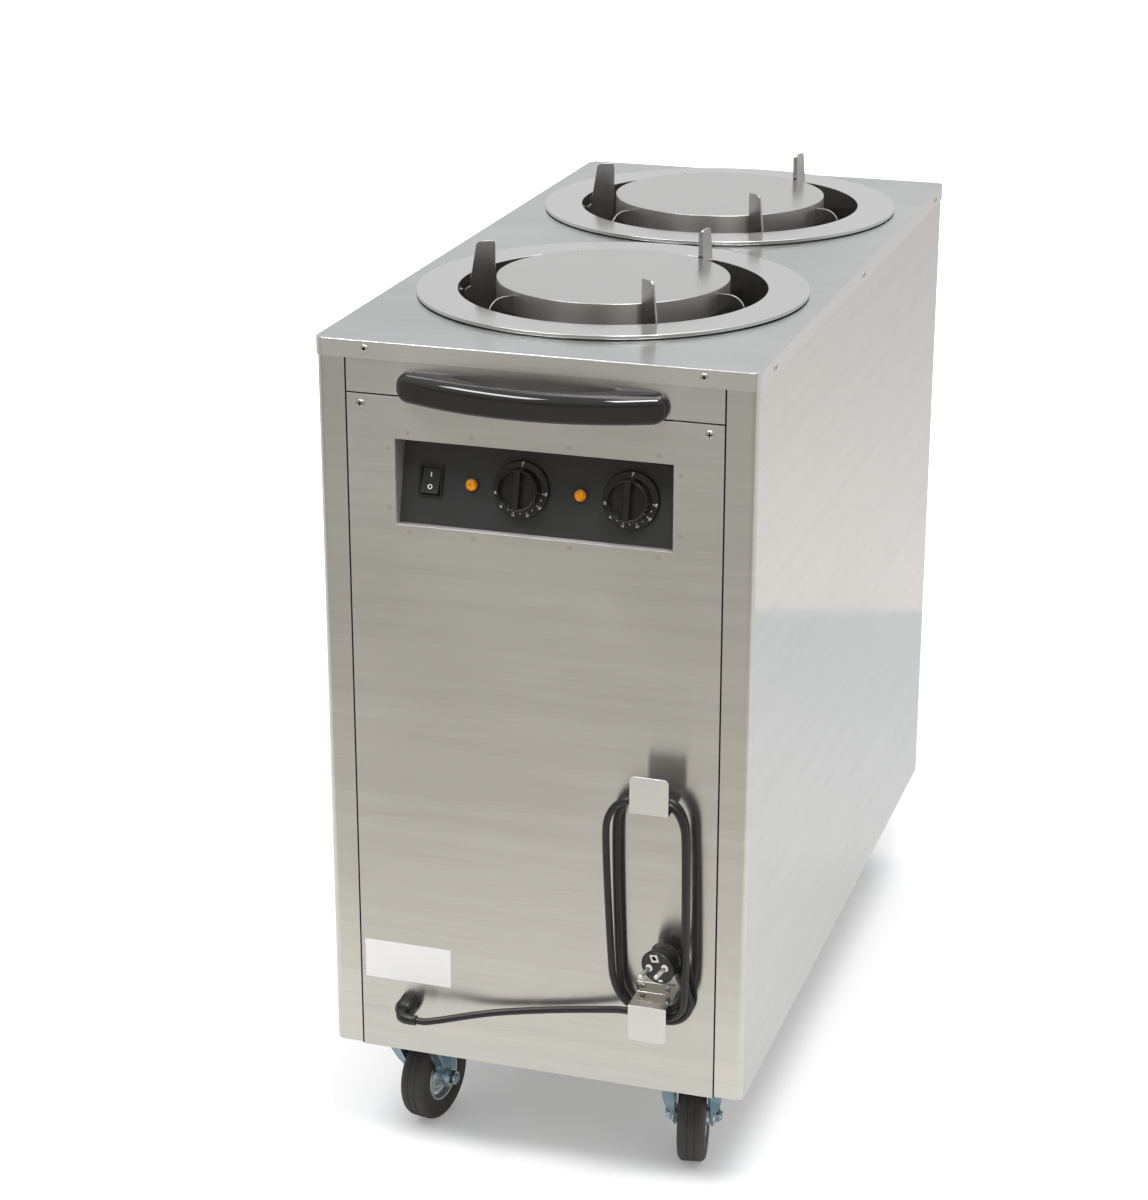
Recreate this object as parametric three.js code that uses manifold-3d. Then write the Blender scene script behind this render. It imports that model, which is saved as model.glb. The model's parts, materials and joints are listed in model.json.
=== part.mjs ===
// Heated plate dispenser cart: two spring-lift wells in a stainless cabinet on four swivel casters.
// Millimetres, +Z up. X runs across the cart, -Y is the front with the controls and the push handle.
// The origin is on the floor, under the middle of the cart's length and width.
import * as THREE from "three";
import { mergeVertices } from "three/addons/utils/BufferGeometryUtils.js";
import Module from "manifold-3d";

const wasm = await Module();
wasm.setup();

// ---------------------------------------------------------------- driving dimensions

// cabinet
const CART_WIDTH = 450; // outside the top cover's rim
const CART_DEPTH = 910; // outside the top cover's rim
const COVER_TOP = 900; // top face of the cover above the floor
const CABINET_BOTTOM = 128; // lower edge of the side shells above the floor
const SHEET = 1.2; // sheet metal thickness
const CORNER_RADIUS = 10; // vertical corners of the cover
const RIM_HEIGHT = 18; // folded rim of the cover
const POST_WIDTH = 30; // shell post seen from the front
const POST_RETURN = 14; // fold behind each post
const PANEL_RETURN = 14; // folds round the panels
const PANEL_DROP = 2; // the panels hang this far below the shells
const FASCIA_HEIGHT = 51; // fascia between the cover and the seam
const SEAM = 1.6; // visible joint between sheets
const FIT = 0.3; // gap where two pieces rest on each other
const BASE_THICKNESS = 2;

// wells, rings and lifts
const WELL_CENTRES = { front: -187, rear: 240 }; // along Y from the cabinet's middle
const RING_OUTER = 204;
const RING_HOLE = 161;
const RING_HEIGHT = 5;
const RING_NECK = 34; // depth of the ring's neck below the cover
const WELL_CLEARANCE = 1.8; // between neck and well wall
const WELL_FLANGE = 22;
const WELL_FLOOR = 172; // underside of the well floor above the floor
const COVER_HOLE_MARGIN = 8; // cover opening beyond the neck
const LIFT_RADIUS = 121.5;
const LIFT_RISE = 16; // lift disc above the cover at rest
const LIFT_SKIRT = 25;
const LIFT_SHEET = 1.5;
const LIFT_TRAVEL = 500; // stroke of the lift
const FIN_REACH = 151; // outer edge of the fins, from the well's axis
const FIN_DROP = 5; // fin top below the disc
const FIN_CORNER = 18;
const FIN_THICKNESS = 2.5;
const LEG_WIDTH = 13; // fin below the skirt
const LEG_BOTTOM = 740; // underside of the lift's feet above the floor
const FOOT_THICKNESS = 3;
const FIN_ANGLES = [-10, 110, 230]; // degrees from +X

// guide fingers
const FINGER_ANGLES = { right: -60, back: 60, left: 180 };
const FINGER_INNER = 129; // inner edge, from the well's axis
const FINGER_TURN = 20; // degrees away from the radius
const FINGER_HEIGHT = 44; // above the cover
const FINGER_TOP_WIDTH = 21;
const FINGER_WIDTH = 27;
const FINGER_THICKNESS = 2.5;
const FINGER_LIP = 4; // small fold along the inner edge

// springs and heaters
const SPRING_RADIUS = 7;
const SPRING_HOOK = 9; // length of each end hook
const SPRING_STEP = 5; // degrees from fin to spring
const HANGER_HALF = 7;
const HANGER_TIP = 4; // tab on the ring's neck, past the spring's axis
const HEATER_RADIUS = 120;
const HEATER_TUBE = 4.25;

// controls
const CUTOUT_HALF = 142.3; // half width of the cut-out in the front panel
const CUTOUT_BOTTOM = 714.5;
const CUTOUT_TOP = 803;
const RECESS_LOW = 9; // depth of the control plate at its lower edge
const RECESS_HIGH = 31; // and at its upper edge
const RECESS_FLANGE = 12;
const CONTROL_PLATE = 2;
const CONTROL_LINE = 43.6; // switch, lamps and knobs above the plate's lower edge
const SWITCH_X = -112;
const LAMP_X = { left: -69, right: 43.4 };
const KNOB_X = { left: -17.3, right: 95 };
const SWITCH_WIDTH = 25;
const SWITCH_HEIGHT = 31;
const SWITCH_BEZEL = 2;
const SWITCH_BODY_DEPTH = 22;
const ROCKER_ARC = 13.1; // rocker ends, from its pivot
const ROCKER_TILT = 10; // degrees each side of level
const LAMP_RADIUS = 7.2;
const LAMP_STEM = 5;
const DIAL_RADIUS = 29;
const DIAL_THICKNESS = 4;
const GRIP_RADIUS = 21;
const GRIP_HEIGHT = 19; // above the plate
const GRIP_BAR = 6; // wall across the grip, between its two pockets
const GRIP_RIM = 2.2; // wall round the pockets
const POCKET_DEPTH = 7;
const SPINDLE_RADIUS = 3;
const SPINDLE_LENGTH = 12;
const SPINDLE_ROOM = 1.4; // past its end, in the knob
const THERMOSTAT = { width: 44, height: 36, depth: 34 };

// push handle
const HANDLE_HALF = 138;
const HANDLE_REACH = 42; // in front of the fascia
const HANDLE_HEIGHT = 28;
const HANDLE_MIDDLE = 858.5; // above the floor
const HANDLE_FOOT = 86; // inner end of each foot, from the middle
const HANDLE_WALL = 15;
const HANDLE_TIP = 9; // reach at its ends
const HANDLE_ROUND = 3;

// casters
const CASTER_INSET = 73; // each swivel axis, in from the cart's side and end
const CASTER_X = CART_WIDTH / 2 - CASTER_INSET;
const CASTER_Y = CART_DEPTH / 2 - CASTER_INSET;
const CASTER_TRAIL = 20;
const CASTER_ANGLES = { front_left: -10.5, front_right: 11, rear_left: -24, rear_right: 17 };
const TYRE_RADIUS = 50;
const TYRE_WIDTH = 30;
const TYRE_SHOULDER = 5;
const RIM_RADIUS = 29;
const HUB_RADIUS = 11;
const HUB_LENGTH = 36;
const AXLE_RADIUS = 5;
const AXLE_PLAY = 0.4;
const FORK_SHEET = 2.5;
const FORK_GAP = 0.8; // hub to fork arm
const FORK_CROWN = 112; // top face of the fork's crown above the floor
const FORK_FRONT = 24; // crown in front of the swivel axis
const FORK_BACK = CASTER_TRAIL + 12; // and behind it
const FORK_BOSS = 12; // round end of each arm, about the axle
const FORK_DROP = 10; // height of the crown's sides in front
const FORK_FLANGE = { width: 10, length: 52 }; // along the front edge of each arm
const CASTER_PLATE = { width: 84, depth: 104, thickness: 3 };
const RACE_RADIUS = 27;
const NUT_RADIUS = 8.5;
const NUT_HEIGHT = 7;

// cord, hooks and plug; points are [x, out from the front panel, height above the floor]
const CORD_DIAMETER = 7.5;
const CORD_SIDES = 8;
const WINDING_SIDES = 6;
const WINDING_STEPS = 24; // steps in each loop
const HOOK_X = 130.5;
const HOOK_WIDTH = 40;
const HOOK_REACH = 34;
const HOOK_SHEET = 1.5;
const HOOK_PLATE = 38;
const HOOK_FLANGE = 13;
const HOOK_CORNER = 5;
const HOOK_UPPER = 452; // face of the arm that the cord lies on
const HOOK_LOWER = 236.5;
const GLAND = { x: -139.7, z: 181.3, reach: 20, bend: 12, nozzle: 8 };
const PLUG_RADIUS = 18.5;
const PLUG_DEPTH = 26;
const RELIEF_LENGTH = 34;
const PLUG_PIN = { radius: 2.4, length: 19, spacing: 19 };

// ---------------------------------------------------------------- derived values

const SHELL_HALF = CART_WIDTH / 2 - SHEET - FIT; // outside of the side shells
const SHELL_FRONT = CART_DEPTH / 2 - SHEET - FIT; // outside of the posts and panels
const SHELL_RADIUS = CORNER_RADIUS - SHEET - FIT;
const SHELL_TOP = COVER_TOP - SHEET - FIT;
const PANEL_HALF = SHELL_HALF - POST_WIDTH - SEAM;
const PANEL_BOTTOM = CABINET_BOTTOM - PANEL_DROP;
const SEAM_HEIGHT = SHELL_TOP - FASCIA_HEIGHT;
const WELL_RADIUS = RING_HOLE + SHEET + WELL_CLEARANCE;
const SPRING_CIRCLE = FIN_REACH - SPRING_RADIUS - 1;
const SPRING_BOTTOM = LEG_BOTTOM + FOOT_THICKNESS + FIT;
const NECK_BOTTOM = COVER_TOP - RING_NECK;
const HANGER_BOTTOM = NECK_BOTTOM + 2;
const SPRING_TOP = HANGER_BOTTOM - FIT;
const RECESS_TILT = Math.atan2(RECESS_HIGH - RECESS_LOW, CUTOUT_TOP - CUTOUT_BOTTOM);
const PLATE_LENGTH = Math.hypot(RECESS_HIGH - RECESS_LOW, CUTOUT_TOP - CUTOUT_BOTTOM);
const CORD_RADIUS = CORD_DIAMETER / 2;
const FORK_INNER = HUB_LENGTH / 2 + FORK_GAP;
const CASTER_PLATE_TOP = CABINET_BOTTOM - FIT;
// the handle reaches further forward than the rim, and the origin is the middle of the whole length
const CABINET_Y = (HANDLE_REACH - (CART_DEPTH / 2 - SHELL_FRONT)) / 2;
const PANEL_Y = CABINET_Y - SHELL_FRONT; // front face of the panels

// ---------------------------------------------------------------- materials

const finish = (color, roughness, metalness) =>
  new THREE.MeshStandardMaterial({ color, roughness, metalness });
const brushed = () => finish(0xb9b7b0, 0.35, 0.9);
const topSteel = () => finish(0xc3c7cb, 0.22, 0.95);
const zinc = () => finish(0xa9bccb, 0.3, 0.9);
const spring = () => finish(0x9c9c98, 0.35, 0.9);
const rubber = () => finish(0x1d1b1a, 0.85, 0);
const blackPlastic = () => finish(0x141414, 0.35, 0);
const controlBlack = () => finish(0x232427, 0.55, 0);
const amber = () => finish(0xe8870f, 0.25, 0);
const cordBlack = () => finish(0x232324, 0.6, 0);

// ---------------------------------------------------------------- geometry helpers

const radians = THREE.MathUtils.degToRad;
const model = new THREE.Group();

// A closed geometry with shared vertices, no empty triangles and its faces pointing out.
function welded(geometry) {
  const bare = geometry.index ? geometry.toNonIndexed() : geometry.clone();
  bare.deleteAttribute("normal");
  bare.deleteAttribute("uv");
  const merged = mergeVertices(bare, 1e-3);
  const index = [];
  const a = new THREE.Vector3();
  const b = new THREE.Vector3();
  const c = new THREE.Vector3();
  const position = merged.attributes.position;
  let volume = 0;
  for (let i = 0; i < merged.index.count; i += 3) {
    const [p, q, r] = [0, 1, 2].map((k) => merged.index.getX(i + k));
    if (p === q || q === r || r === p) continue;
    index.push(p, q, r);
    a.fromBufferAttribute(position, p);
    b.fromBufferAttribute(position, q);
    c.fromBufferAttribute(position, r);
    volume += a.dot(b.cross(c));
  }
  merged.setIndex(volume < 0 ? index.reverse() : index);
  return merged;
}

function solid(geometry) {
  const mesh = welded(geometry);
  return new wasm.Manifold(
    new wasm.Mesh({
      numProp: 3,
      vertProperties: new Float32Array(mesh.attributes.position.array),
      triVerts: new Uint32Array(mesh.index.array),
    }),
  );
}

function meshGeometry(manifold) {
  const mesh = manifold.getMesh();
  const geometry = new THREE.BufferGeometry();
  geometry.setAttribute("position", new THREE.BufferAttribute(new Float32Array(mesh.vertProperties), 3));
  geometry.setIndex(new THREE.BufferAttribute(new Uint32Array(mesh.triVerts), 1));
  return geometry;
}

const join = (first, ...rest) => rest.reduce((sum, part) => sum.add(part), first);
const cut = (first, ...rest) => rest.reduce((sum, part) => sum.subtract(part), first);

// Puts one named piece in a group, from a geometry or a solid.
function add(name, shape, material, parent = model) {
  const geometry = shape.isBufferGeometry ? welded(shape) : meshGeometry(shape);
  const flat = geometry.toNonIndexed();
  flat.computeVertexNormals();
  const mesh = new THREE.Mesh(flat, material);
  mesh.name = name;
  parent.add(mesh);
  return mesh;
}

function block(x0, x1, y0, y1, z0, z1) {
  const geometry = new THREE.BoxGeometry(x1 - x0, y1 - y0, z1 - z0);
  return geometry.translate((x0 + x1) / 2, (y0 + y1) / 2, (z0 + z1) / 2);
}

const arc = (x, y, radius, from, to, steps) =>
  Array.from({ length: steps + 1 }, (_, i) => {
    const angle = radians(from + ((to - from) * i) / steps);
    return new THREE.Vector2(x + radius * Math.cos(angle), y + radius * Math.sin(angle));
  });
const at = (x, y) => new THREE.Vector2(x, y);

// An outline in the XY plane, raised from z0 to z1.
function prism(points, z0, z1, holes = []) {
  const shape = new THREE.Shape(points);
  shape.holes = holes.map((hole) => new THREE.Path(hole));
  const geometry = new THREE.ExtrudeGeometry(shape, { depth: z1 - z0, bevelEnabled: false });
  return geometry.translate(0, 0, z0);
}
// The same with the outline's x across the cart and its y up, reaching from y0 to y1.
const upright = (points, y0, y1, holes = []) =>
  prism(points, -y1, -y0, holes).rotateX(Math.PI / 2);
// The same with the outline's x along the cart and its y up, reaching from x0 to x1.
const sideways = (points, x0, x1) =>
  prism(points, x0, x1).rotateX(Math.PI / 2).rotateZ(Math.PI / 2);

// A profile of [radius, height] pairs turned about Z.
function turned(profile, steps) {
  const points = profile.map(([radius, height]) => at(radius, height));
  return new THREE.LatheGeometry(points, steps).rotateX(Math.PI / 2);
}
const closed = (profile) => [...profile, profile[0]];

function roundedRectangle(halfX, halfY, radius, steps) {
  const x = halfX - radius;
  const y = halfY - radius;
  return [
    ...arc(x, y, radius, 0, 90, steps),
    ...arc(-x, y, radius, 90, 180, steps),
    ...arc(-x, -y, radius, 180, 270, steps),
    ...arc(x, -y, radius, 270, 360, steps),
  ];
}

const rectangle = (x0, x1, y0, y1) => [at(x0, y0), at(x1, y0), at(x1, y1), at(x0, y1)];

// A tube of a round section along a path.
function tube(path, radius, sides, steps) {
  const section = new THREE.Shape(arc(0, 0, radius, 0, 360 - 360 / sides, sides - 1));
  return new THREE.ExtrudeGeometry(section, { steps, extrudePath: path, bevelEnabled: false });
}

// A tapered round bar from one point to another.
function bar(from, to, radiusFrom, radiusTo, sides) {
  const axis = new THREE.Vector3().subVectors(to, from);
  const geometry = new THREE.CylinderGeometry(radiusTo, radiusFrom, axis.length(), sides);
  geometry.translate(0, axis.length() / 2, 0);
  const turn = new THREE.Quaternion().setFromUnitVectors(new THREE.Vector3(0, 1, 0), axis.normalize());
  return geometry.applyQuaternion(turn).translate(from.x, from.y, from.z);
}

// A point given by its distance out from the front panel.
const onFront = ([x, out, z]) => new THREE.Vector3(x, PANEL_Y - out, z);

// ---------------------------------------------------------------- cabinet

const CIRCLE = 48; // sides of the rings and wells

function topCover() {
  const half = [CART_WIDTH / 2, CART_DEPTH / 2];
  const openings = Object.values(WELL_CENTRES).map((y) =>
    arc(0, y, RING_HOLE + COVER_HOLE_MARGIN, 0, 360 - 360 / CIRCLE, CIRCLE - 1),
  );
  const outline = roundedRectangle(...half, CORNER_RADIUS, 4);
  const inner = roundedRectangle(half[0] - SHEET, half[1] - SHEET, CORNER_RADIUS - SHEET, 4);
  const plate = solid(prism(outline, COVER_TOP - SHEET, COVER_TOP, openings));
  const rim = solid(prism(outline, COVER_TOP - RIM_HEIGHT, COVER_TOP - SHEET / 2, [inner]));
  return meshGeometry(join(plate, rim)).translate(0, CABINET_Y, 0);
}

// One side with its front and back posts, seen from above; the other side is its mirror image.
function sideShell(side) {
  const x = SHELL_HALF;
  const y = SHELL_FRONT;
  const seam = x - POST_WIDTH;
  const skin = (inset) => {
    const radius = SHELL_RADIUS - inset;
    const [cx, cy] = [x - SHELL_RADIUS, y - SHELL_RADIUS];
    return [
      at(seam + inset, -y + POST_RETURN),
      at(seam + inset, -y + inset),
      ...arc(cx, -cy, radius, 270, 360, 4),
      ...arc(cx, cy, radius, 0, 90, 4),
      at(seam + inset, y - inset),
      at(seam + inset, y - POST_RETURN),
    ];
  };
  const outline = [...skin(0), ...skin(SHEET).reverse()].map((p) => at(side * p.x, p.y));
  return prism(outline, CABINET_BOTTOM, SHELL_TOP).translate(0, CABINET_Y, 0);
}

// A sheet with folds round its four edges, its face at y = 0 and its folds towards +Y.
function pan(bottom, top, folds = PANEL_RETURN) {
  const outer = solid(block(-PANEL_HALF, PANEL_HALF, 0, folds, bottom, top));
  const hollow = block(-PANEL_HALF + SHEET, PANEL_HALF - SHEET, SHEET, folds + 1, bottom + SHEET, top - SHEET);
  return cut(outer, solid(hollow));
}

const controlLean = new THREE.Matrix4()
  .makeTranslation(0, RECESS_LOW, CUTOUT_BOTTOM)
  .multiply(new THREE.Matrix4().makeRotationX(-RECESS_TILT));

function frontPanel() {
  const cutout = block(-CUTOUT_HALF, CUTOUT_HALF, -1, SHEET + 1, CUTOUT_BOTTOM, CUTOUT_TOP);
  const glandHole = new THREE.CylinderGeometry(8.3, 8.3, 10, 20).translate(GLAND.x, 0, GLAND.z);
  const sheet = cut(pan(PANEL_BOTTOM, SEAM_HEIGHT - SEAM), solid(cutout), solid(glandHole));
  return meshGeometry(sheet).translate(0, PANEL_Y, 0);
}

// Four walls from the cut-out back to the leaning control plate, with a flange behind the panel.
function controlRecess() {
  const back = RECESS_HIGH + 20;
  const start = SHEET + FIT;
  const walls = solid(
    block(-CUTOUT_HALF - SHEET, CUTOUT_HALF + SHEET, start, back, CUTOUT_BOTTOM - SHEET, CUTOUT_TOP + SHEET),
  );
  const reach = RECESS_FLANGE;
  const flangeLow = Math.min(reach, RECESS_LOW);
  const flange = block(
    -CUTOUT_HALF - reach,
    CUTOUT_HALF + reach,
    start,
    start + SHEET,
    CUTOUT_BOTTOM - flangeLow,
    CUTOUT_TOP + reach,
  );
  const opening = block(-CUTOUT_HALF, CUTOUT_HALF, -1, back + 1, CUTOUT_BOTTOM, CUTOUT_TOP);
  const behind = block(-CART_WIDTH, CART_WIDTH, 0, back * 3, -CART_WIDTH, CART_WIDTH).applyMatrix4(controlLean);
  return meshGeometry(cut(join(walls, solid(flange)), solid(opening), solid(behind))).translate(0, PANEL_Y, 0);
}

function basePlate() {
  const top = CABINET_BOTTOM + FIT + BASE_THICKNESS;
  const x = SHELL_HALF - SHEET - FIT;
  const y = SHELL_FRONT - PANEL_RETURN - FIT;
  return block(-x, x, CABINET_Y - y, CABINET_Y + y, top - BASE_THICKNESS, top);
}

add("side_shell_left", sideShell(-1), brushed());
add("side_shell_right", sideShell(1), brushed());
add("top_cover", topCover(), topSteel());
add(
  "front_fascia",
  meshGeometry(pan(SEAM_HEIGHT, SHELL_TOP)).translate(0, PANEL_Y, 0),
  brushed(),
);
add("front_panel", frontPanel(), brushed());
add(
  "rear_panel",
  meshGeometry(pan(PANEL_BOTTOM, SHELL_TOP))
    .rotateZ(Math.PI)
    .translate(0, CABINET_Y + SHELL_FRONT, 0),
  brushed(),
);
add("base_plate", basePlate(), brushed());
add("control_recess", controlRecess(), brushed());

// ---------------------------------------------------------------- controls
// In this group y = 0 is the face of the leaning plate, -Y comes out of it and z runs up it.

const controls = new THREE.Group();
controls.position.set(0, PANEL_Y + RECESS_LOW, CUTOUT_BOTTOM);
controls.rotation.x = -RECESS_TILT;
model.add(controls);

const SWITCH_HOLE = { half: SWITCH_WIDTH / 2 - 1.2, halfHeight: SWITCH_HEIGHT / 2 - 1.6 };

function controlPlate() {
  const edge = 5;
  const round = (x, radius) => arc(x, CONTROL_LINE, radius, 0, 345, 23);
  const holes = [
    rectangle(
      SWITCH_X - SWITCH_HOLE.half,
      SWITCH_X + SWITCH_HOLE.half,
      CONTROL_LINE - SWITCH_HOLE.halfHeight,
      CONTROL_LINE + SWITCH_HOLE.halfHeight,
    ),
    ...Object.values(LAMP_X).map((x) => round(x, LAMP_STEM + FIT)),
    ...Object.values(KNOB_X).map((x) => round(x, SPINDLE_RADIUS + 1)),
  ];
  const outline = rectangle(-CUTOUT_HALF - edge, CUTOUT_HALF + edge, -edge, PLATE_LENGTH + edge);
  return upright(outline, FIT, FIT + CONTROL_PLATE, holes);
}

function switchBody() {
  const x = SWITCH_X;
  const z = CONTROL_LINE;
  const { half, halfHeight } = SWITCH_HOLE;
  const bezel = block(
    x - SWITCH_WIDTH / 2, x + SWITCH_WIDTH / 2, -SWITCH_BEZEL, 0,
    z - SWITCH_HEIGHT / 2, z + SWITCH_HEIGHT / 2,
  );
  const body = block(
    x - half + FIT, x + half - FIT, -SWITCH_BEZEL / 2, SWITCH_BODY_DEPTH,
    z - halfHeight + FIT, z + halfHeight - FIT,
  );
  const room = ROCKER_ARC + 0.4;
  const well = block(x - half + 1.5, x + half - 1.5, -SWITCH_BEZEL - 1, 9, z - room, z + room);
  return cut(join(solid(bezel), solid(body)), solid(well));
}

// A paddle with two faces either side of its pivot, pressed in at the top.
function rocker() {
  const faceAngle = 80; // from the pivot's outward direction to each end
  const outline = [
    ...arc(0, 0, ROCKER_ARC, faceAngle, faceAngle + 26, 3).map((p) => at(-p.x, p.y)),
    ...arc(0, 0, ROCKER_ARC, -faceAngle - 26, -faceAngle, 3).map((p) => at(-p.x, p.y)),
    at(-1.2, 0),
  ];
  const halfWidth = SWITCH_HOLE.half - 2;
  // outline x is out of the plate and y up it
  const geometry = sideways(outline.map((p) => at(p.x, p.y)), -halfWidth, halfWidth);
  return geometry.rotateX(-radians(ROCKER_TILT)).translate(SWITCH_X, 0, CONTROL_LINE);
}

function lamp(x) {
  const profile = [
    [0, -20],
    [LAMP_STEM, -20],
    [LAMP_STEM, 0],
    [LAMP_RADIUS, 0],
    [LAMP_RADIUS, 1.6],
    [LAMP_RADIUS * 0.82, 3.4],
    [LAMP_RADIUS * 0.5, 4.8],
    [0, 5.3],
  ];
  return turned(profile, 16).rotateX(Math.PI / 2).translate(x, 0, CONTROL_LINE);
}

function thermostat(x) {
  const { width, height, depth } = THERMOSTAT;
  const back = FIT + CONTROL_PLATE + FIT;
  const body = solid(
    block(x - width / 2, x + width / 2, back, back + depth, CONTROL_LINE - height / 2, CONTROL_LINE + height / 2),
  );
  const spindle = new THREE.CylinderGeometry(SPINDLE_RADIUS, SPINDLE_RADIUS, SPINDLE_LENGTH, 16);
  spindle.translate(x, back + 1 - SPINDLE_LENGTH / 2, CONTROL_LINE);
  return join(body, solid(spindle));
}

// Dial skirt and round grip with a pocket each side of a wall; the bore behind takes the spindle.
function knob(x) {
  const play = 0.6;
  const profile = [
    [0, play],
    [DIAL_RADIUS - 1, play],
    [DIAL_RADIUS, play + 1.2],
    [DIAL_RADIUS - 1, DIAL_THICKNESS],
    [GRIP_RADIUS + 0.6, DIAL_THICKNESS + 1],
    [GRIP_RADIUS, GRIP_HEIGHT - 2],
    [GRIP_RADIUS - 2, GRIP_HEIGHT],
    [0, GRIP_HEIGHT],
  ];
  const round = solid(turned(profile, 40));
  const boreTop = SPINDLE_LENGTH - 2 * FIT - CONTROL_PLATE - 1 + SPINDLE_ROOM;
  const bore = prism(arc(0, 0, SPINDLE_RADIUS + FIT, 0, 345, 23), -1, boreTop);
  const pocketRadius = GRIP_RADIUS - GRIP_RIM;
  const corner = THREE.MathUtils.radToDeg(Math.acos(GRIP_BAR / 2 / pocketRadius));
  const pocket = (facing) => {
    const outline = arc(0, 0, pocketRadius, facing - corner, facing + corner, 14);
    return solid(prism(outline, GRIP_HEIGHT - POCKET_DEPTH, GRIP_HEIGHT + 1));
  };
  const shaped = cut(round, solid(bore), pocket(0), pocket(180));
  return meshGeometry(shaped).rotateX(Math.PI / 2).translate(x, 0, CONTROL_LINE);
}

add("control_plate", controlPlate(), controlBlack(), controls);
add("switch_body", switchBody(), blackPlastic(), controls);
add("switch_rocker", rocker(), blackPlastic(), controls);
for (const side of ["left", "right"]) {
  add(`lamp_${side}`, lamp(LAMP_X[side]), amber(), controls);
  add(`thermostat_${side}`, thermostat(KNOB_X[side]), controlBlack(), controls);
  add(`knob_${side}`, knob(KNOB_X[side]), blackPlastic(), controls);
}

// ---------------------------------------------------------------- push handle

// The arc through (half, low) and (0, high), from -half to half.
function bow(half, low, high, steps) {
  const rise = high - low;
  const radius = (half * half + rise * rise) / (2 * rise);
  const angle = THREE.MathUtils.radToDeg(Math.asin(half / radius));
  return arc(0, high - radius, radius, 90 + angle, 90 - angle, steps);
}

function pushHandle() {
  const round = HANDLE_ROUND;
  const outer = bow(HANDLE_HALF - round, HANDLE_TIP - round, HANDLE_REACH - round, 18);
  const inner = bow(HANDLE_FOOT + round, FIT + round, HANDLE_REACH - HANDLE_WALL + round, 12);
  const low = FIT + round;
  const outline = [
    at(-HANDLE_HALF + round, low),
    ...outer,
    at(HANDLE_HALF - round, low),
    ...inner.reverse(),
  ];
  const plan = new THREE.ExtrudeGeometry(new THREE.Shape(outline), {
    depth: HANDLE_HEIGHT - 2 * round,
    bevelSize: round,
    bevelThickness: round,
    bevelSegments: 2,
  });
  plan.translate(0, 0, round - HANDLE_HEIGHT / 2);
  const end = HANDLE_HEIGHT / 2;
  const front = upright(
    [...arc(HANDLE_HALF - end, 0, end, -90, 90, 8), ...arc(end - HANDLE_HALF, 0, end, 90, 270, 8)],
    -1,
    HANDLE_REACH + 1,
  );
  const bowed = solid(plan).intersect(solid(front));
  return meshGeometry(bowed).scale(1, -1, 1).translate(0, PANEL_Y, HANDLE_MIDDLE);
}

add("push_handle", pushHandle(), blackPlastic());

// ---------------------------------------------------------------- wells, rings, lifts and fingers

const polar = (radius, angle) => at(radius * Math.cos(radians(angle)), radius * Math.sin(radians(angle)));
const springAngle = (angle) => angle + SPRING_STEP;

function well() {
  const radius = WELL_RADIUS;
  const top = COVER_TOP - SHEET - FIT;
  const profile = [
    [0, WELL_FLOOR],
    [radius + SHEET, WELL_FLOOR],
    [radius + SHEET, top - SHEET],
    [radius + WELL_FLANGE, top - SHEET],
    [radius + WELL_FLANGE, top],
    [radius, top],
    [radius, WELL_FLOOR + SHEET],
    [0, WELL_FLOOR + SHEET],
  ];
  return turned(profile, 36);
}

// A flange that lies on the cover, a neck into the well, and a tab for each spring's upper hook.
function ring() {
  const top = COVER_TOP + RING_HEIGHT;
  const profile = closed([
    [RING_HOLE, NECK_BOTTOM],
    [RING_HOLE + SHEET, NECK_BOTTOM],
    [RING_HOLE + SHEET, top - SHEET],
    [RING_OUTER - SHEET, top - SHEET],
    [RING_OUTER - SHEET, COVER_TOP + FIT],
    [RING_OUTER, COVER_TOP + FIT],
    [RING_OUTER, top - 1.8],
    [RING_OUTER - 2, top],
    [RING_HOLE + 3, top],
    [RING_HOLE, top - 3],
  ]);
  const tabs = FIN_ANGLES.map((angle) =>
    solid(
      block(
        SPRING_CIRCLE - HANGER_TIP, RING_HOLE + SHEET / 2, -HANGER_HALF, HANGER_HALF,
        HANGER_BOTTOM, HANGER_BOTTOM + FOOT_THICKNESS,
      ).rotateZ(radians(springAngle(angle))),
    ),
  );
  return join(solid(turned(profile, CIRCLE)), ...tabs);
}

// A round plate with a skirt, three fins that run down as legs, and a foot for each spring.
function lift() {
  const top = COVER_TOP + LIFT_RISE;
  const wall = LIFT_SHEET;
  const disc = turned(
    [
      [0, top - wall],
      [LIFT_RADIUS - wall, top - wall],
      [LIFT_RADIUS - wall, top - LIFT_SKIRT],
      [LIFT_RADIUS, top - LIFT_SKIRT],
      [LIFT_RADIUS, top - 1.5],
      [LIFT_RADIUS - 1.5, top],
      [0, top],
    ],
    CIRCLE,
  );
  const start = LIFT_RADIUS - wall / 2;
  const finTop = top - FIN_DROP;
  const legInner = FIN_REACH - LEG_WIDTH;
  const outline = [
    at(start, finTop),
    at(start, top - LIFT_SKIRT),
    at(legInner, top - LIFT_SKIRT - 15),
    at(legInner, LEG_BOTTOM),
    at(FIN_REACH, LEG_BOTTOM),
    ...arc(FIN_REACH - FIN_CORNER, finTop - FIN_CORNER, FIN_CORNER, 0, 90, 5),
  ];
  const half = FIN_THICKNESS / 2;
  const fins = FIN_ANGLES.map((angle) => solid(upright(outline, -half, half).rotateZ(radians(angle))));
  const spring = polar(SPRING_CIRCLE, SPRING_STEP);
  const feet = FIN_ANGLES.map((angle) =>
    solid(
      block(legInner, FIN_REACH, 0, spring.y + SPRING_RADIUS, LEG_BOTTOM, LEG_BOTTOM + FOOT_THICKNESS).rotateZ(
        radians(angle),
      ),
    ),
  );
  return join(solid(disc), ...fins, ...feet);
}

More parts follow.
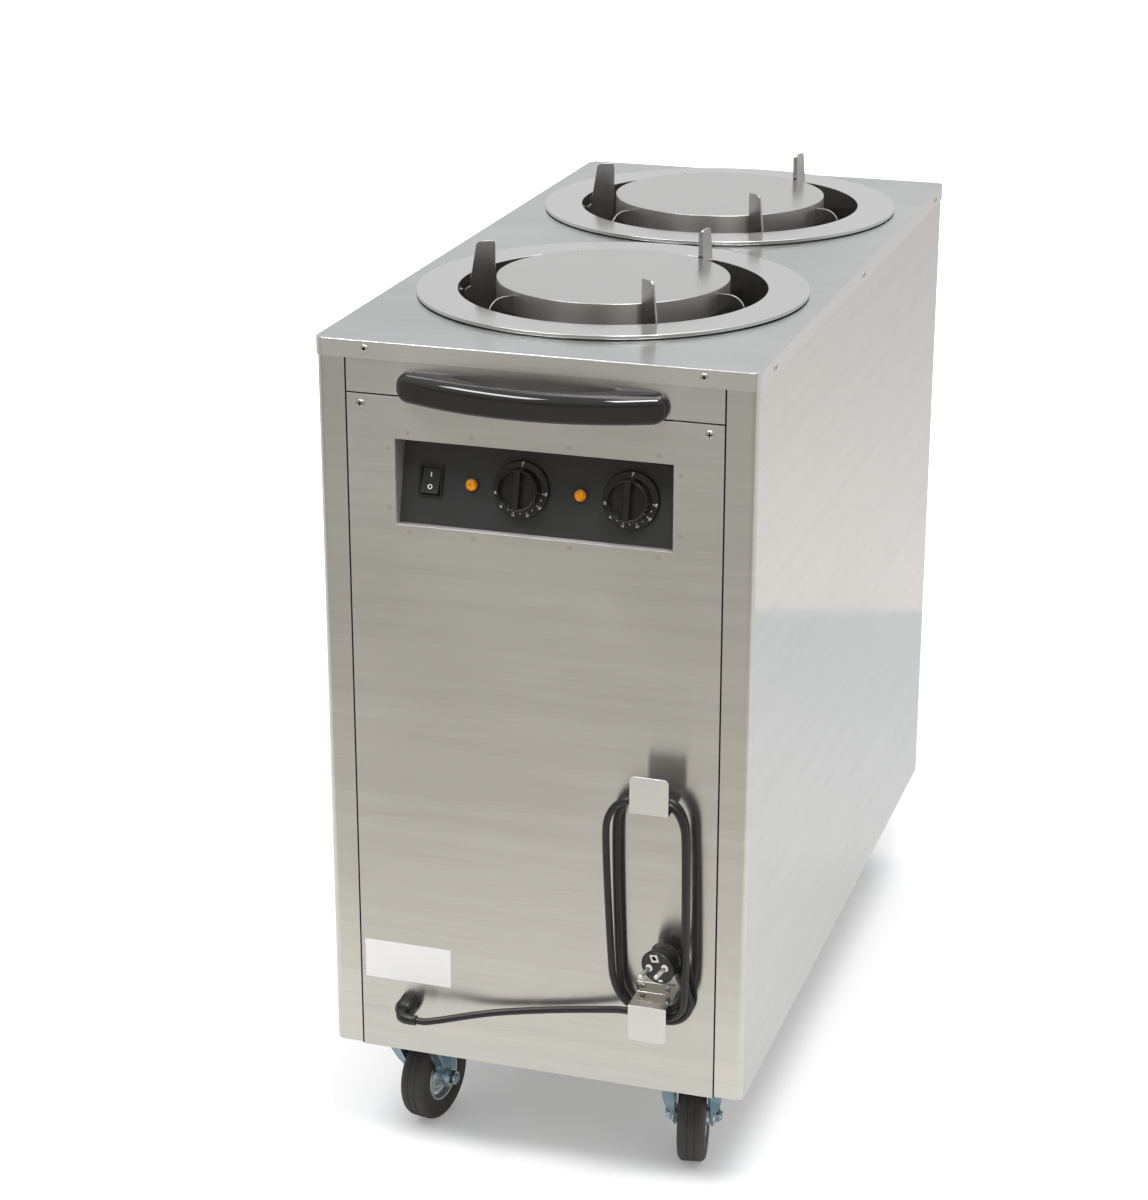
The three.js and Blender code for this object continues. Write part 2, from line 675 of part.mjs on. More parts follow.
// A closed-wound extension spring, drawn as the outside of its coils with a hook at each end.
function liftSpring() {
  const [low, high] = [SPRING_BOTTOM, SPRING_TOP];
  const hook = SPRING_RADIUS * 0.35;
  return turned(
    [
      [0, low],
      [hook, low],
      [hook, low + SPRING_HOOK],
      [SPRING_RADIUS, low + SPRING_HOOK + 2],
      [SPRING_RADIUS, high - SPRING_HOOK - 2],
      [hook, high - SPRING_HOOK],
      [hook, high],
      [0, high],
    ],
    10,
  );
}

function heater() {
  const height = WELL_FLOOR + SHEET + FIT + HEATER_TUBE;
  const section = arc(HEATER_RADIUS, height, HEATER_TUBE, -90, 210, 5);
  return turned(closed(section.map((p) => [p.x, p.y])), 28);
}

// A flat finger with round top corners, its outer edge leaning in, welded to the ring's neck.
function guideFinger(angle) {
  const top = COVER_TOP + FINGER_HEIGHT;
  const low = NECK_BOTTOM + 6;
  const turn = radians(FINGER_TURN);
  // how far the foot reaches until it meets the neck
  const across = FINGER_INNER * Math.sin(turn);
  const halfSheet = FINGER_THICKNESS / 2;
  const neck = RING_HOLE - FIT;
  const foot =
    Math.sqrt(neck ** 2 - (across + halfSheet) ** 2) - FINGER_INNER * Math.cos(turn) - 0.4;
  const outline = [
    at(0, low),
    at(foot, low),
    at(foot, COVER_TOP - 8),
    at(FINGER_WIDTH, COVER_TOP - 4),
    at(FINGER_WIDTH, COVER_TOP),
    ...arc(FINGER_TOP_WIDTH - 6.5, top - 6, 6, 0, 90, 4),
    ...arc(3, top - 3, 3, 90, 180, 3),
  ];
  const plate = solid(upright(outline, -halfSheet, halfSheet));
  const lip = solid(block(0, 1.5, 0, FINGER_LIP, low, top - 3));
  return meshGeometry(join(plate, lip))
    .rotateZ(turn)
    .translate(FINGER_INNER, 0, 0)
    .rotateZ(radians(angle));
}

for (const [place, y] of Object.entries(WELL_CENTRES)) {
  const group = new THREE.Group();
  group.position.y = CABINET_Y + y;
  model.add(group);
  add(`well_${place}`, well(), brushed(), group);
  add(`ring_${place}`, ring(), topSteel(), group);
  add(`lift_${place}`, lift(), topSteel(), group);
  add(`heater_${place}`, heater(), zinc(), group);
  for (const [side, angle] of Object.entries(FINGER_ANGLES)) {
    add(`finger_${place}_${side}`, guideFinger(angle), brushed(), group);
  }
  FIN_ANGLES.forEach((angle, i) => {
    const { x, y: across } = polar(SPRING_CIRCLE, springAngle(angle));
    add(`spring_${place}_${i + 1}`, liftSpring().translate(x, across, 0), spring(), group);
  });
}

// ---------------------------------------------------------------- casters
// Each is drawn with its swivel axis on Z, its axle along X and the wheel trailing towards +Y.

function casterPlate() {
  const { width, depth, thickness } = CASTER_PLATE;
  const top = CASTER_PLATE_TOP;
  const plate = block(-width / 2, width / 2, -depth / 2, depth / 2, top - thickness, top);
  const race = turned(
    [
      [0, FORK_CROWN + FIT],
      [RACE_RADIUS - 6, FORK_CROWN + FIT],
      [RACE_RADIUS, top - thickness],
      [RACE_RADIUS, top - thickness / 2],
      [0, top - thickness / 2],
    ],
    24,
  );
  return join(solid(plate), solid(race));
}

// Crown, two arms with a flange down their front edge, and the axle bolt with its head and nut.
function casterFork() {
  const crown = FORK_CROWN;
  const trail = CASTER_TRAIL;
  const boss = FORK_BOSS;
  const edgeTop = at(-FORK_FRONT, crown - FORK_DROP);
  const edgeLow = at(trail - boss * 0.9, TYRE_RADIUS - boss * 0.45);
  const arm = [
    at(-FORK_FRONT, crown),
    edgeTop,
    edgeLow,
    ...arc(trail, TYRE_RADIUS, boss, 225, 345, 5),
    at(FORK_BACK, crown - FORK_DROP),
    at(FORK_BACK, crown),
  ];
  const reach = FORK_INNER + FORK_SHEET;
  const lean = Math.atan2(edgeLow.x - edgeTop.x, edgeTop.y - edgeLow.y);
  const { width, length } = FORK_FLANGE;
  const sides = [-1, 1].flatMap((side) => {
    const faces = [side * FORK_INNER, side * reach].sort((p, q) => p - q);
    const flange = [
      at(side * FORK_INNER, 0),
      at(side * (reach + width), 0),
      at(side * (reach + width), -length / 3),
      at(side * (reach + width * 0.75), -length * 0.65),
      at(side * reach, -length),
      at(side * FORK_INNER, -length),
    ];
    const bent = upright(flange, 0, FORK_SHEET).rotateX(lean).translate(0, edgeTop.x, edgeTop.y);
    return [solid(sideways(arm, ...faces)), solid(bent)];
  });
  const top = solid(block(-reach, reach, -FORK_FRONT, FORK_BACK, crown - FORK_SHEET, crown));
  const bolt = new THREE.CylinderGeometry(AXLE_RADIUS, AXLE_RADIUS, 2 * (reach + NUT_HEIGHT) + 4, 16);
  const across = (geometry, x) =>
    solid(geometry.rotateZ(Math.PI / 2).translate(x, trail, TYRE_RADIUS));
  const nut = () => new THREE.CylinderGeometry(NUT_RADIUS, NUT_RADIUS, NUT_HEIGHT, 6);
  const seat = reach + NUT_HEIGHT / 2 - 0.1;
  return join(top, ...sides, across(bolt, 0), across(nut(), seat), across(nut(), -seat));
}

// Pressed rim with a hub, a dished web and a raised edge.
function wheelRim() {
  const half = HUB_LENGTH / 2;
  const seat = TYRE_WIDTH / 2 - 2;
  const profile = closed([
    [AXLE_RADIUS + AXLE_PLAY, -half],
    [HUB_RADIUS, -half],
    [HUB_RADIUS + 1, -5],
    [RIM_RADIUS - 5, -5],
    [RIM_RADIUS - 3, -seat],
    [RIM_RADIUS, -seat],
    [RIM_RADIUS, seat],
    [RIM_RADIUS - 3, seat],
    [RIM_RADIUS - 5, 5],
    [HUB_RADIUS + 1, 5],
    [HUB_RADIUS, half],
    [AXLE_RADIUS + AXLE_PLAY, half],
  ]);
  return turned(profile, 24);
}

function wheelTyre() {
  const half = TYRE_WIDTH / 2;
  const bore = RIM_RADIUS + FIT;
  const profile = closed([
    [bore, -half + 2],
    [bore + 4, -half],
    [TYRE_RADIUS - TYRE_SHOULDER, -half],
    [TYRE_RADIUS - 1.5, -half + TYRE_SHOULDER - 1],
    [TYRE_RADIUS, -half + 2 * TYRE_SHOULDER],
    [TYRE_RADIUS, half - 2 * TYRE_SHOULDER],
    [TYRE_RADIUS - 1.5, half - TYRE_SHOULDER + 1],
    [TYRE_RADIUS - TYRE_SHOULDER, half],
    [bore + 4, half],
    [bore, half - 2],
  ]);
  return turned(profile, 32);
}

const onAxle = (geometry) => geometry.rotateY(Math.PI / 2).translate(0, CASTER_TRAIL, TYRE_RADIUS);

for (const [place, angle] of Object.entries(CASTER_ANGLES)) {
  const [end, side] = place.split("_");
  const group = new THREE.Group();
  group.position.x = side === "left" ? -CASTER_X : CASTER_X;
  group.position.y = CABINET_Y + (end === "front" ? -CASTER_Y : CASTER_Y);
  model.add(group);
  add(`caster_plate_${place}`, casterPlate(), zinc(), group);
  const swivel = new THREE.Group();
  swivel.rotation.z = radians(angle);
  group.add(swivel);
  add(`caster_fork_${place}`, casterFork(), zinc(), swivel);
  add(`wheel_rim_${place}`, onAxle(wheelRim()), zinc(), swivel);
  add(`wheel_tyre_${place}`, onAxle(wheelTyre()), rubber(), swivel);
}

// ---------------------------------------------------------------- hooks, gland, cord and plug

// A bent strip: a flange on the panel, an arm out from it and a plate that keeps the cord in.
// up is 1 where the plate turns up, and -1 where it turns down.
function cordHook(face, up) {
  const reach = HOOK_REACH;
  const sheet = HOOK_SHEET;
  const out = (y, z) => at(-y, z);
  const strip = [
    out(FIT, -HOOK_FLANGE),
    out(FIT + sheet, -HOOK_FLANGE),
    out(FIT + sheet, -sheet),
    out(reach, -sheet),
    out(reach, HOOK_PLATE),
    out(reach - sheet, HOOK_PLATE),
    out(reach - sheet, 0),
    out(FIT, 0),
  ];
  const half = HOOK_WIDTH / 2;
  const c = HOOK_CORNER;
  const outline = [
    at(-half, -HOOK_FLANGE - 1),
    at(half, -HOOK_FLANGE - 1),
    ...arc(half - c, HOOK_PLATE - c, c, 0, 90, 4),
    ...arc(c - half, HOOK_PLATE - c, c, 90, 180, 4),
  ];
  const bent = solid(sideways(strip, -half, half));
  const shaped = bent.intersect(solid(upright(outline, -reach - 1, 1)));
  return meshGeometry(shaped).scale(1, 1, up).translate(HOOK_X, PANEL_Y, face);
}

// Thread through the panel, hexagon and dome, then a nozzle that bends towards the hooks.
function cableGland() {
  const body = turned(
    [
      [0, -12],
      [7.8, -12],
      [7.8, FIT],
      [12.5, FIT],
      [12.5, 5],
      [11, 6],
      [11, 13],
      [9.5, 17],
      [7, GLAND.reach],
      [0, GLAND.reach],
    ],
    16,
  ).rotateX(Math.PI / 2);
  const { bend, reach, nozzle } = GLAND;
  const path = new THREE.CurvePath();
  path.add(new THREE.LineCurve3(new THREE.Vector3(0, -reach + 4, 0), new THREE.Vector3(0, -reach, 0)));
  path.add(
    new THREE.QuadraticBezierCurve3(
      new THREE.Vector3(0, -reach, 0),
      new THREE.Vector3(0, -reach - bend, 0),
      new THREE.Vector3(bend, -reach - bend, 0),
    ),
  );
  path.add(
    new THREE.LineCurve3(
      new THREE.Vector3(bend, -reach - bend, 0),
      new THREE.Vector3(bend + nozzle, -reach - bend, 0),
    ),
  );
  const elbow = solid(tube(path, 6, 10, 8));
  return meshGeometry(join(solid(body), elbow)).translate(GLAND.x, PANEL_Y, GLAND.z);
}

const CORD_START = [GLAND.x + GLAND.bend + GLAND.nozzle + FIT, GLAND.reach + GLAND.bend, GLAND.z];
const LEAD_END = [112, 17, 221.4];
const WINDING_START = [LEAD_END[0] + FIT, LEAD_END[1] + 0.04, LEAD_END[2]];
const WINDING_END = [164.7, 8.5, 250.4];
const LEAD_STEPS = 16;

// The lead leaves the nozzle, comes back near the panel and rises to the lower hook.
const LEAD_POINTS = [
  CORD_START,
  [CORD_START[0] + 8, 32, 181.3],
  [-98, 29.5, 183.6],
  [-80, 23.5, 186.6],
  [-62, 17.5, 189.6],
  [-40, 12.5, 193.6],
  [-12, 10, 198.9],
  [18, 9, 204.5],
  [48, 9.5, 210.2],
  [72, 11, 214.8],
  [92, 14, 219.4],
  [LEAD_END[0] - 9, 16, 221.3],
  LEAD_END,
];

// Bends of the winding, from the lead's end to the plug: the middle of each and its radius across
// and up, the angles it runs through seen from the front, and how far out it starts and ends.
const BENDS = [
  { x: 141, z: 247.6, across: 26.5, up: 26.5, from: -90, to: 0, out: [20, 28] },
  { x: 145, z: 422.5, across: 20.5, up: 36, from: 0, to: 90, out: [24, 22.5] },
  { x: 110.5, z: 422.5, across: 28, up: 36, from: 90, to: 180, out: [21.5, 20.5] },
  { x: 115.5, z: 277.9, across: 26.5, up: 48, from: 180, to: 270, out: [20.5, 19.5] },
  { x: 141.5, z: 253.9, across: 24, up: 24, from: 270, to: 360, out: [19, 18.5] },
  { x: 144, z: 422.5, across: 20.5, up: 36, from: 0, to: 90, out: [13.5, 12] },
  { x: 116, z: 422.5, across: 26, up: 36, from: 90, to: 180, out: [11, 10] },
  { x: 143.7, z: 257, across: 49, up: 47, from: 180, to: 270, out: [9, 5.4] },
  { x: 143.7, z: 235, across: 25, up: 25, from: 270, to: 380, out: [5.4, 7.6] },
];

// Points along the winding, WINDING_STEPS in each full loop: a quarter of them less one on each
// bend, and one for each straight run between two bends.
function windingPoints() {
  const stepsInBend = WINDING_STEPS / 4 - 1;
  const points = [onFront(WINDING_START)];
  for (const { x, z, across, up, from, to, out } of BENDS) {
    const steps = Math.round((stepsInBend * (to - from)) / 90);
    for (let i = 0; i <= steps; i++) {
      const angle = radians(THREE.MathUtils.lerp(from, to, i / steps));
      const depth = THREE.MathUtils.lerp(out[0], out[1], i / steps);
      const point = onFront([x + across * Math.cos(angle), depth, z + up * Math.sin(angle)]);
      if (point.distanceTo(points.at(-1)) > 1) points.push(point);
    }
  }
  points.push(onFront(WINDING_END));
  return points;
}

// A closed tube with a ring of corners at each point of a path and a flat end at each end.
function tubeThrough(points, radius, sides) {
  const positions = [];
  const index = [];
  const last = points.length - 1;
  const tangents = points.map((_, i) =>
    new THREE.Vector3().subVectors(points[Math.min(i + 1, last)], points[Math.max(i - 1, 0)]).normalize(),
  );
  const normal = new THREE.Vector3(0, 1, 0).cross(tangents[0]).normalize();
  const across = new THREE.Vector3();
  points.forEach((point, i) => {
    normal.addScaledVector(tangents[i], -normal.dot(tangents[i])).normalize();
    across.crossVectors(tangents[i], normal);
    for (let k = 0; k < sides; k++) {
      const angle = (2 * Math.PI * k) / sides;
      const corner = point.clone();
      corner.addScaledVector(normal, radius * Math.cos(angle));
      corner.addScaledVector(across, radius * Math.sin(angle));
      positions.push(corner.x, corner.y, corner.z);
      const [a, b] = [i * sides + k, i * sides + ((k + 1) % sides)];
      if (i < last) index.push(a, b, a + sides, b, b + sides, a + sides);
      if (k > 0 && k < sides - 1) {
        if (i === 0) index.push(0, b, a);
        if (i === last) index.push(last * sides, a, b);
      }
    }
  });
  const geometry = new THREE.BufferGeometry();
  geometry.setAttribute("position", new THREE.Float32BufferAttribute(positions, 3));
  geometry.setIndex(index);
  return geometry;
}

// Points every few millimetres along a path of straight steps, each with its distance along it.
function alongPath(points, spacing) {
  const samples = [];
  let travelled = 0;
  for (let i = 1; i < points.length; i++) {
    const step = points[i].distanceTo(points[i - 1]);
    const count = Math.ceil(step / spacing);
    for (let k = 0; k < count; k++) {
      const point = points[i - 1].clone().lerp(points[i], k / count);
      samples.push({ point, travelled: travelled + (step * k) / count });
    }
    travelled += step;
  }
  return { samples, length: travelled };
}

// The smallest space between stretches of a tube that aren't neighbours along it.
function leastGap({ samples }, radius) {
  const apart = 3 * Math.PI * radius;
  let least = Infinity;
  for (const a of samples) {
    for (const b of samples) {
      if (b.travelled - a.travelled > apart) least = Math.min(least, a.point.distanceTo(b.point));
    }
  }
  return least - 2 * radius;
}

const leadCurve = new THREE.CatmullRomCurve3(LEAD_POINTS.map(onFront), false, "centripetal");
const windingPath = windingPoints();
const winding = alongPath(windingPath, 2);
console.log(
  `cord: lead ${leadCurve.getLength().toFixed(0)} mm, winding ${winding.length.toFixed(0)} mm, ` +
    `least gap of the winding to itself ${leastGap(winding, CORD_RADIUS).toFixed(2)} mm`,
);

add("cord_hook_upper", cordHook(HOOK_UPPER, 1), brushed());
add("cord_hook_lower", cordHook(HOOK_LOWER, -1), brushed());
add("cable_gland", cableGland(), blackPlastic());
add("cord_lead", tube(leadCurve, CORD_RADIUS, CORD_SIDES, LEAD_STEPS), cordBlack());
add("cord_winding", tubeThrough(windingPath, CORD_RADIUS, WINDING_SIDES), cordBlack());

// Round plug with two pins; its angled strain relief comes down to the end of the winding.
function plug() {
  const face = onFront([141.2, 36, 285]);
  const pins = new THREE.Vector3(-0.24, -0.96, -0.12).normalize();
  const turn = new THREE.Quaternion().setFromUnitVectors(new THREE.Vector3(0, 0, 1), pins);
  const body = turned(
    [
      [0, -PLUG_DEPTH],
      [PLUG_RADIUS - 6, -PLUG_DEPTH],
      [PLUG_RADIUS - 4, -PLUG_DEPTH + 4],
      [PLUG_RADIUS - 1.5, -PLUG_DEPTH + 14],
      [PLUG_RADIUS, -PLUG_DEPTH + 22],
      [PLUG_RADIUS, -1],
      [PLUG_RADIUS - 1, 0],
      [0, 0],
    ],
    24,
  );
  const parts = [-1, 1].map((side) => {
    const pin = new THREE.CylinderGeometry(PLUG_PIN.radius, PLUG_PIN.radius, PLUG_PIN.length + 1, 10);
    pin.rotateX(Math.PI / 2).translate((side * PLUG_PIN.spacing) / 2, 0, (PLUG_PIN.length - 1) / 2);
    return solid(pin.applyQuaternion(turn).translate(face.x, face.y, face.z));
  });
  const end = windingPath.at(-1);
  const along = new THREE.Vector3().subVectors(end, windingPath.at(-2)).normalize();
  const reliefEnd = end.clone().addScaledVector(along, FIT);
  const root = end.clone().addScaledVector(along, RELIEF_LENGTH);
  const relief = solid(bar(reliefEnd, root, 5, 7, 12));
  const main = solid(body.applyQuaternion(turn).translate(face.x, face.y, face.z));
  return join(main, relief, ...parts);
}

add("plug", plug(), blackPlastic());

export default model;
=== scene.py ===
# %% [markdown]
# # A heated plate dispenser cart
# The cart is a stainless cabinet with two round wells. Springs lift a platform in each well, so the
# top plate is always within reach, and three guide fingers keep the stack upright. The sizes come
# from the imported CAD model, which is the frame of everything here: a piece is built where the frame
# has it, and rides on the body that carries it.

# %% Frame
import json
import math

import bmesh
import bpy
from mathutils import Matrix, Vector


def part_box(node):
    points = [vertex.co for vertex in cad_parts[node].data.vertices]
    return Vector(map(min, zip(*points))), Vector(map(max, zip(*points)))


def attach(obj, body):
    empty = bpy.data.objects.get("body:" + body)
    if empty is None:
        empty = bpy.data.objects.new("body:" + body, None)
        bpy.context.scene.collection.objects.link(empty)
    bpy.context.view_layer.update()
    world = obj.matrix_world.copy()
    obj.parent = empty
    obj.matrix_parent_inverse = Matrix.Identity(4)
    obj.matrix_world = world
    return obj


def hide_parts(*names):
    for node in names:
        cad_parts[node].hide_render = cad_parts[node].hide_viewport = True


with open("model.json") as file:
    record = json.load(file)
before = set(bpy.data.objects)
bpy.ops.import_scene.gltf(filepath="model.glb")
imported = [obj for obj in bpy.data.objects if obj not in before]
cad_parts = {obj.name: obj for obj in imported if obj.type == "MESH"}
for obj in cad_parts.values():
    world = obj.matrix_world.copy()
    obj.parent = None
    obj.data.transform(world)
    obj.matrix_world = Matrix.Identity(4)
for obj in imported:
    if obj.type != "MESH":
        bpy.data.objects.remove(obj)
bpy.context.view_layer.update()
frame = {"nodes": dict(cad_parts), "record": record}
scene = bpy.context.scene
scene.view_settings.view_transform = "Standard"


# %% Sizes and places
def middle(node, axis):
    """The middle of a CAD node along an axis."""
    return sum(corner[axis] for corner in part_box(node)) / 2


MM = 0.001
PANEL_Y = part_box("front_panel")[0][1]  # front face of the panel
COVER_LOW, COVER_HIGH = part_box("top_cover")
COVER_TOP = COVER_HIGH[2]
CABINET_Y = middle("top_cover", 1)
WELLS = {place: middle(f"ring_{place}", 1) for place in ("front", "rear")}
print("panel face", round(PANEL_Y, 5), "cover top", COVER_TOP, "wells", WELLS)


def mm(points):
    """Points given in millimetres, in metres."""
    return [tuple(value * MM for value in point) for point in points]


def on_front(x, out, z):
    """A point in millimetres across, out from the front panel and above the floor."""
    return Vector((x * MM, PANEL_Y - out * MM, z * MM))


def shift(x=0.0, y=0.0, z=0.0):
    """A move given in millimetres."""
    return Matrix.Translation((x * MM, y * MM, z * MM))


def spin(angle, axis="Z"):
    """A turn given in degrees."""
    return Matrix.Rotation(math.radians(angle), 4, axis)


def placed(name, data):
    """A new object of the scene that holds the data."""
    holder = bpy.data.objects.new(name, data)
    scene.collection.objects.link(holder)
    return holder


def aim(holder, place, target):
    """Stands a camera or a lamp at a place and turns it to its target."""
    holder.location = place
    holder.rotation_euler = (Vector(target) - Vector(place)).to_track_quat("-Z", "Y").to_euler()


# %% [markdown]
# ## Camera
# The camera's lens, height and turn were worked out from the lines of the cart in the photograph,
# so that the cart's corners land where the photograph has them. A long lens stands three metres
# away and looks a little down.

# %% Camera
LENS = 86.06
CAMERA_AT = (0.8465, -2.9508, 1.6167)
CAMERA_LOOKS_AT = (-0.1023, 0.0203, 0.4817)

camera = placed("camera", bpy.data.cameras.new("camera"))
camera.data.lens = LENS
camera.data.sensor_fit = "VERTICAL"
camera.data.sensor_height = 36
aim(camera, CAMERA_AT, CAMERA_LOOKS_AT)
scene.camera = camera
print("camera distance", round(math.dist(CAMERA_LOOKS_AT, CAMERA_AT), 3))

# %% [markdown]
# ## Materials
# Effects that several materials share are shader node groups: a grain drawn out in one direction
# for brushed sheet, soft clouds for handling marks, and the fine grain of mouldings. A group gives
# out only masks and heights, and each material decides what they do to its colour, roughness and
# bump.


# %% Node helpers
def feed(tree, value, socket):
    """Sets a socket to a plain value, or links another node's output to it."""
    if isinstance(value, bpy.types.NodeSocket):
        tree.links.new(value, socket)
    else:
        socket.default_value = value


def add_node(tree, kind, inputs, **settings):
    """A node with its settings, fed by plain values or by other nodes' outputs."""
    node = tree.nodes.new(kind)
    for name, value in settings.items():
        setattr(node, name, value)
    for label, value in inputs.items():
        feed(tree, value, node.inputs[label])
    return node


def remap(tree, value, low, high, to_low=0.0, to_high=1.0):
    inputs = {"From Min": low, "From Max": high, "To Min": to_low, "To Max": to_high, "Value": value}
    return add_node(tree, "ShaderNodeMapRange", inputs).outputs["Result"]


def math_node(tree, operation, *values):
    inputs = dict(enumerate(values))
    return add_node(tree, "ShaderNodeMath", inputs, operation=operation).outputs["Value"]


def noise(tree, vector, scale, detail, **more):
    inputs = {"Vector": vector, "Scale": scale, "Detail": detail, **more}
    return add_node(tree, "ShaderNodeTexNoise", inputs).outputs["Fac"]


def new_group(name, extra, outputs):
    """An empty shader group that takes coordinates and one more input, and gives floats."""
    group = bpy.data.node_groups.new(name, "ShaderNodeTree")
    for label, kind, value in (("Vector", "NodeSocketVector", (0, 0, 0)), extra):
        socket = group.interface.new_socket(label, in_out="INPUT", socket_type=kind)
        socket.default_value = value
    for label in outputs:
        group.interface.new_socket(label, in_out="OUTPUT", socket_type="NodeSocketFloat")
    return group, group.nodes.new("NodeGroupInput").outputs, group.nodes.new("NodeGroupOutput").inputs


# %% Shared effects
def make_grain():
    """Fine streaks: the Stretch vector is small along the grain and large across it."""
    stretch = ("Stretch", "NodeSocketVector", (10, 10, 900))
    group, given, out = new_group("grain", stretch, ["Fine", "Broad"])
    inputs = {0: given["Vector"], 1: given["Stretch"]}
    scaled = add_node(group, "ShaderNodeVectorMath", inputs, operation="MULTIPLY").outputs[0]
    for label, scale, detail in (("Fine", 1.0, 4.0), ("Broad", 0.16, 2.0)):
        streaks = noise(group, scaled, scale, detail, Roughness=0.6)
        feed(group, remap(group, streaks, 0.3, 0.7), out[label])
    return group


def make_handling():
    """Soft clouds and a few faint wiped arcs, as hands and cloths leave on metal."""
    group, given, out = new_group("handling", ("Size", "NodeSocketFloat", 6.0), ["Clouds", "Marks"])
    clouds = noise(group, given["Vector"], given["Size"], 3.0)
    feed(group, remap(group, clouds, 0.35, 0.65), out["Clouds"])
    finer = math_node(group, "MULTIPLY", given["Size"], 3.3)
    marks = noise(group, given["Vector"], finer, 5.0, Distortion=1.5)
    feed(group, remap(group, marks, 0.56, 0.74), out["Marks"])
    return group


def make_speckle():
    """The fine moulded grain of plastic and rubber, and where dust lies on it."""
    group, given, out = new_group("speckle", ("Size", "NodeSocketFloat", 900.0), ["Height", "Dust"])
    feed(group, noise(group, given["Vector"], given["Size"], 2.0), out["Height"])
    dust = noise(group, given["Vector"], 35.0, 6.0)
    feed(group, remap(group, dust, 0.45, 0.75), out["Dust"])
    return group


GRAIN = make_grain()
HANDLING = make_handling()
SPECKLE = make_speckle()
print("shared effects:", [group.name for group in (GRAIN, HANDLING, SPECKLE)])


# %% Material helpers
def new_material(name, **sockets):
    """A material, its tree, its Principled shader's sockets with plain values, its coordinates."""
    material = bpy.data.materials.new(name)
    material.use_nodes = True
    tree = material.node_tree
    shader = tree.nodes["Principled BSDF"].inputs
    for label, value in sockets.items():
        shader[label.replace("_", " ")].default_value = value
    return material, tree, shader, tree.nodes.new("ShaderNodeTexCoord").outputs["Object"]


def use_group(tree, group, place, **values):
    return add_node(tree, "ShaderNodeGroup", {"Vector": place, **values}, node_tree=group).outputs


def tint(tree, mask, *ends):
    """A mix of two colours by a mask; each is a plain colour or another node's output."""
    first, second = (end if isinstance(end, bpy.types.NodeSocket) else (*end, 1) for end in ends)
    inputs = {"A": first, "B": second, "Factor": mask}
    return add_node(tree, "ShaderNodeMix", inputs, data_type="RGBA").outputs["Result"]


def bump(tree, height, shader, strength, distance):
    inputs = {"Strength": strength, "Distance": distance, "Height": height}
    feed(tree, add_node(tree, "ShaderNodeBump", inputs).outputs["Normal"], shader["Normal"])


# %% Brushed steel
def brushed(
    name, colour, roughness, stretch, smear=0.6, around="Z", contrast=0.05, turn=0.25, cloud=0.03
):
    """Brushed sheet: the grain smears reflections across itself, so they run up and down a front
    whose grain lies level. around is the axis that the grain goes round."""
    material, tree, shader, place = new_material(
        name, Metallic=1.0, Anisotropic=smear, Anisotropic_Rotation=turn
    )
    tangent = add_node(tree, "ShaderNodeTangent", {}, direction_type="RADIAL", axis=around)
    feed(tree, tangent.outputs["Tangent"], shader["Tangent"])
    grain = use_group(tree, GRAIN, place, Stretch=stretch)
    handling = use_group(tree, HANDLING, place, Size=5.0)
    streaks = math_node(tree, "ADD", grain["Fine"], grain["Broad"])
    clouds = math_node(tree, "MULTIPLY", handling["Clouds"], cloud)
    tone = math_node(tree, "MULTIPLY_ADD", streaks, contrast / 2, clouds)
    tone = remap(tree, tone, 0, contrast + cloud)
    swing = contrast + cloud / 2
    dark, light = ([channel * factor for channel in colour] for factor in (1 - swing, 1 + swing))
    feed(tree, tint(tree, tone, dark, light), shader["Base Color"])
    rough = remap(tree, handling["Clouds"], 0, 1, roughness - 0.02, roughness + 0.02)
    feed(tree, math_node(tree, "MULTIPLY_ADD", handling["Marks"], 0.04, rough), shader["Roughness"])
    bump(tree, grain["Fine"], shader, 0.08, 0.00006)
    return material


LEVEL_GRAIN = (7, 7, 480)
ACROSS_GRAIN = (7, 480, 7)
FRONT_STEEL = brushed("front_steel", (0.645, 0.634, 0.614), 0.21, LEVEL_GRAIN, 0.9, contrast=0.08)
# the cover's rim: its level grain is real, its paler, warmer tone than the cover is painted light
RIM_LIT_STEEL = brushed("rim_steel_painted_light", (0.70, 0.69, 0.67), 0.24, LEVEL_GRAIN, 0.9)
SIDE_STEEL = brushed(
    "side_steel", (0.645, 0.634, 0.610), 0.12, LEVEL_GRAIN, 0.9, turn=0.0, contrast=0.07
)
# duller steel for cut edges, folds and the recess: its roughness is real, its paler colour is painted
# light
DULL_LIT_STEEL = brushed("dull_steel_painted_light", (0.72, 0.70, 0.67), 0.62, LEVEL_GRAIN, 0.3)
COVER_STEEL = brushed("cover_steel", (0.58, 0.59, 0.595), 0.22, ACROSS_GRAIN, 0.6, "Y", cloud=0.10)
RING_STEEL = brushed("ring_steel", (0.70, 0.70, 0.70), 0.18, (500, 500, 500), 0.0, "Z", 0.02)
FINGER_STEEL = brushed("finger_steel", (0.50, 0.49, 0.475), 0.25, (9, 9, 900), 0.3)
WELL_STEEL = brushed("well_steel", (0.42, 0.41, 0.39), 0.38, (9, 9, 700), 0.2)
LIFT_STEEL = brushed("lift_steel", (0.60, 0.60, 0.595), 0.20, (300, 300, 300), 0.0, "Z", 0.02)
# the platform's skirt: its darker colour is painted shade from the gap round it; its rougher level grain
# is real
SKIRT_SHADE_STEEL = brushed("skirt_steel_painted_shade", (0.46, 0.45, 0.43), 0.36, LEVEL_GRAIN, 0.8)
HOOK_STEEL = brushed("hook_steel", (0.83, 0.825, 0.81), 0.5, (400, 400, 400), 0.0, "Z", 0.03)
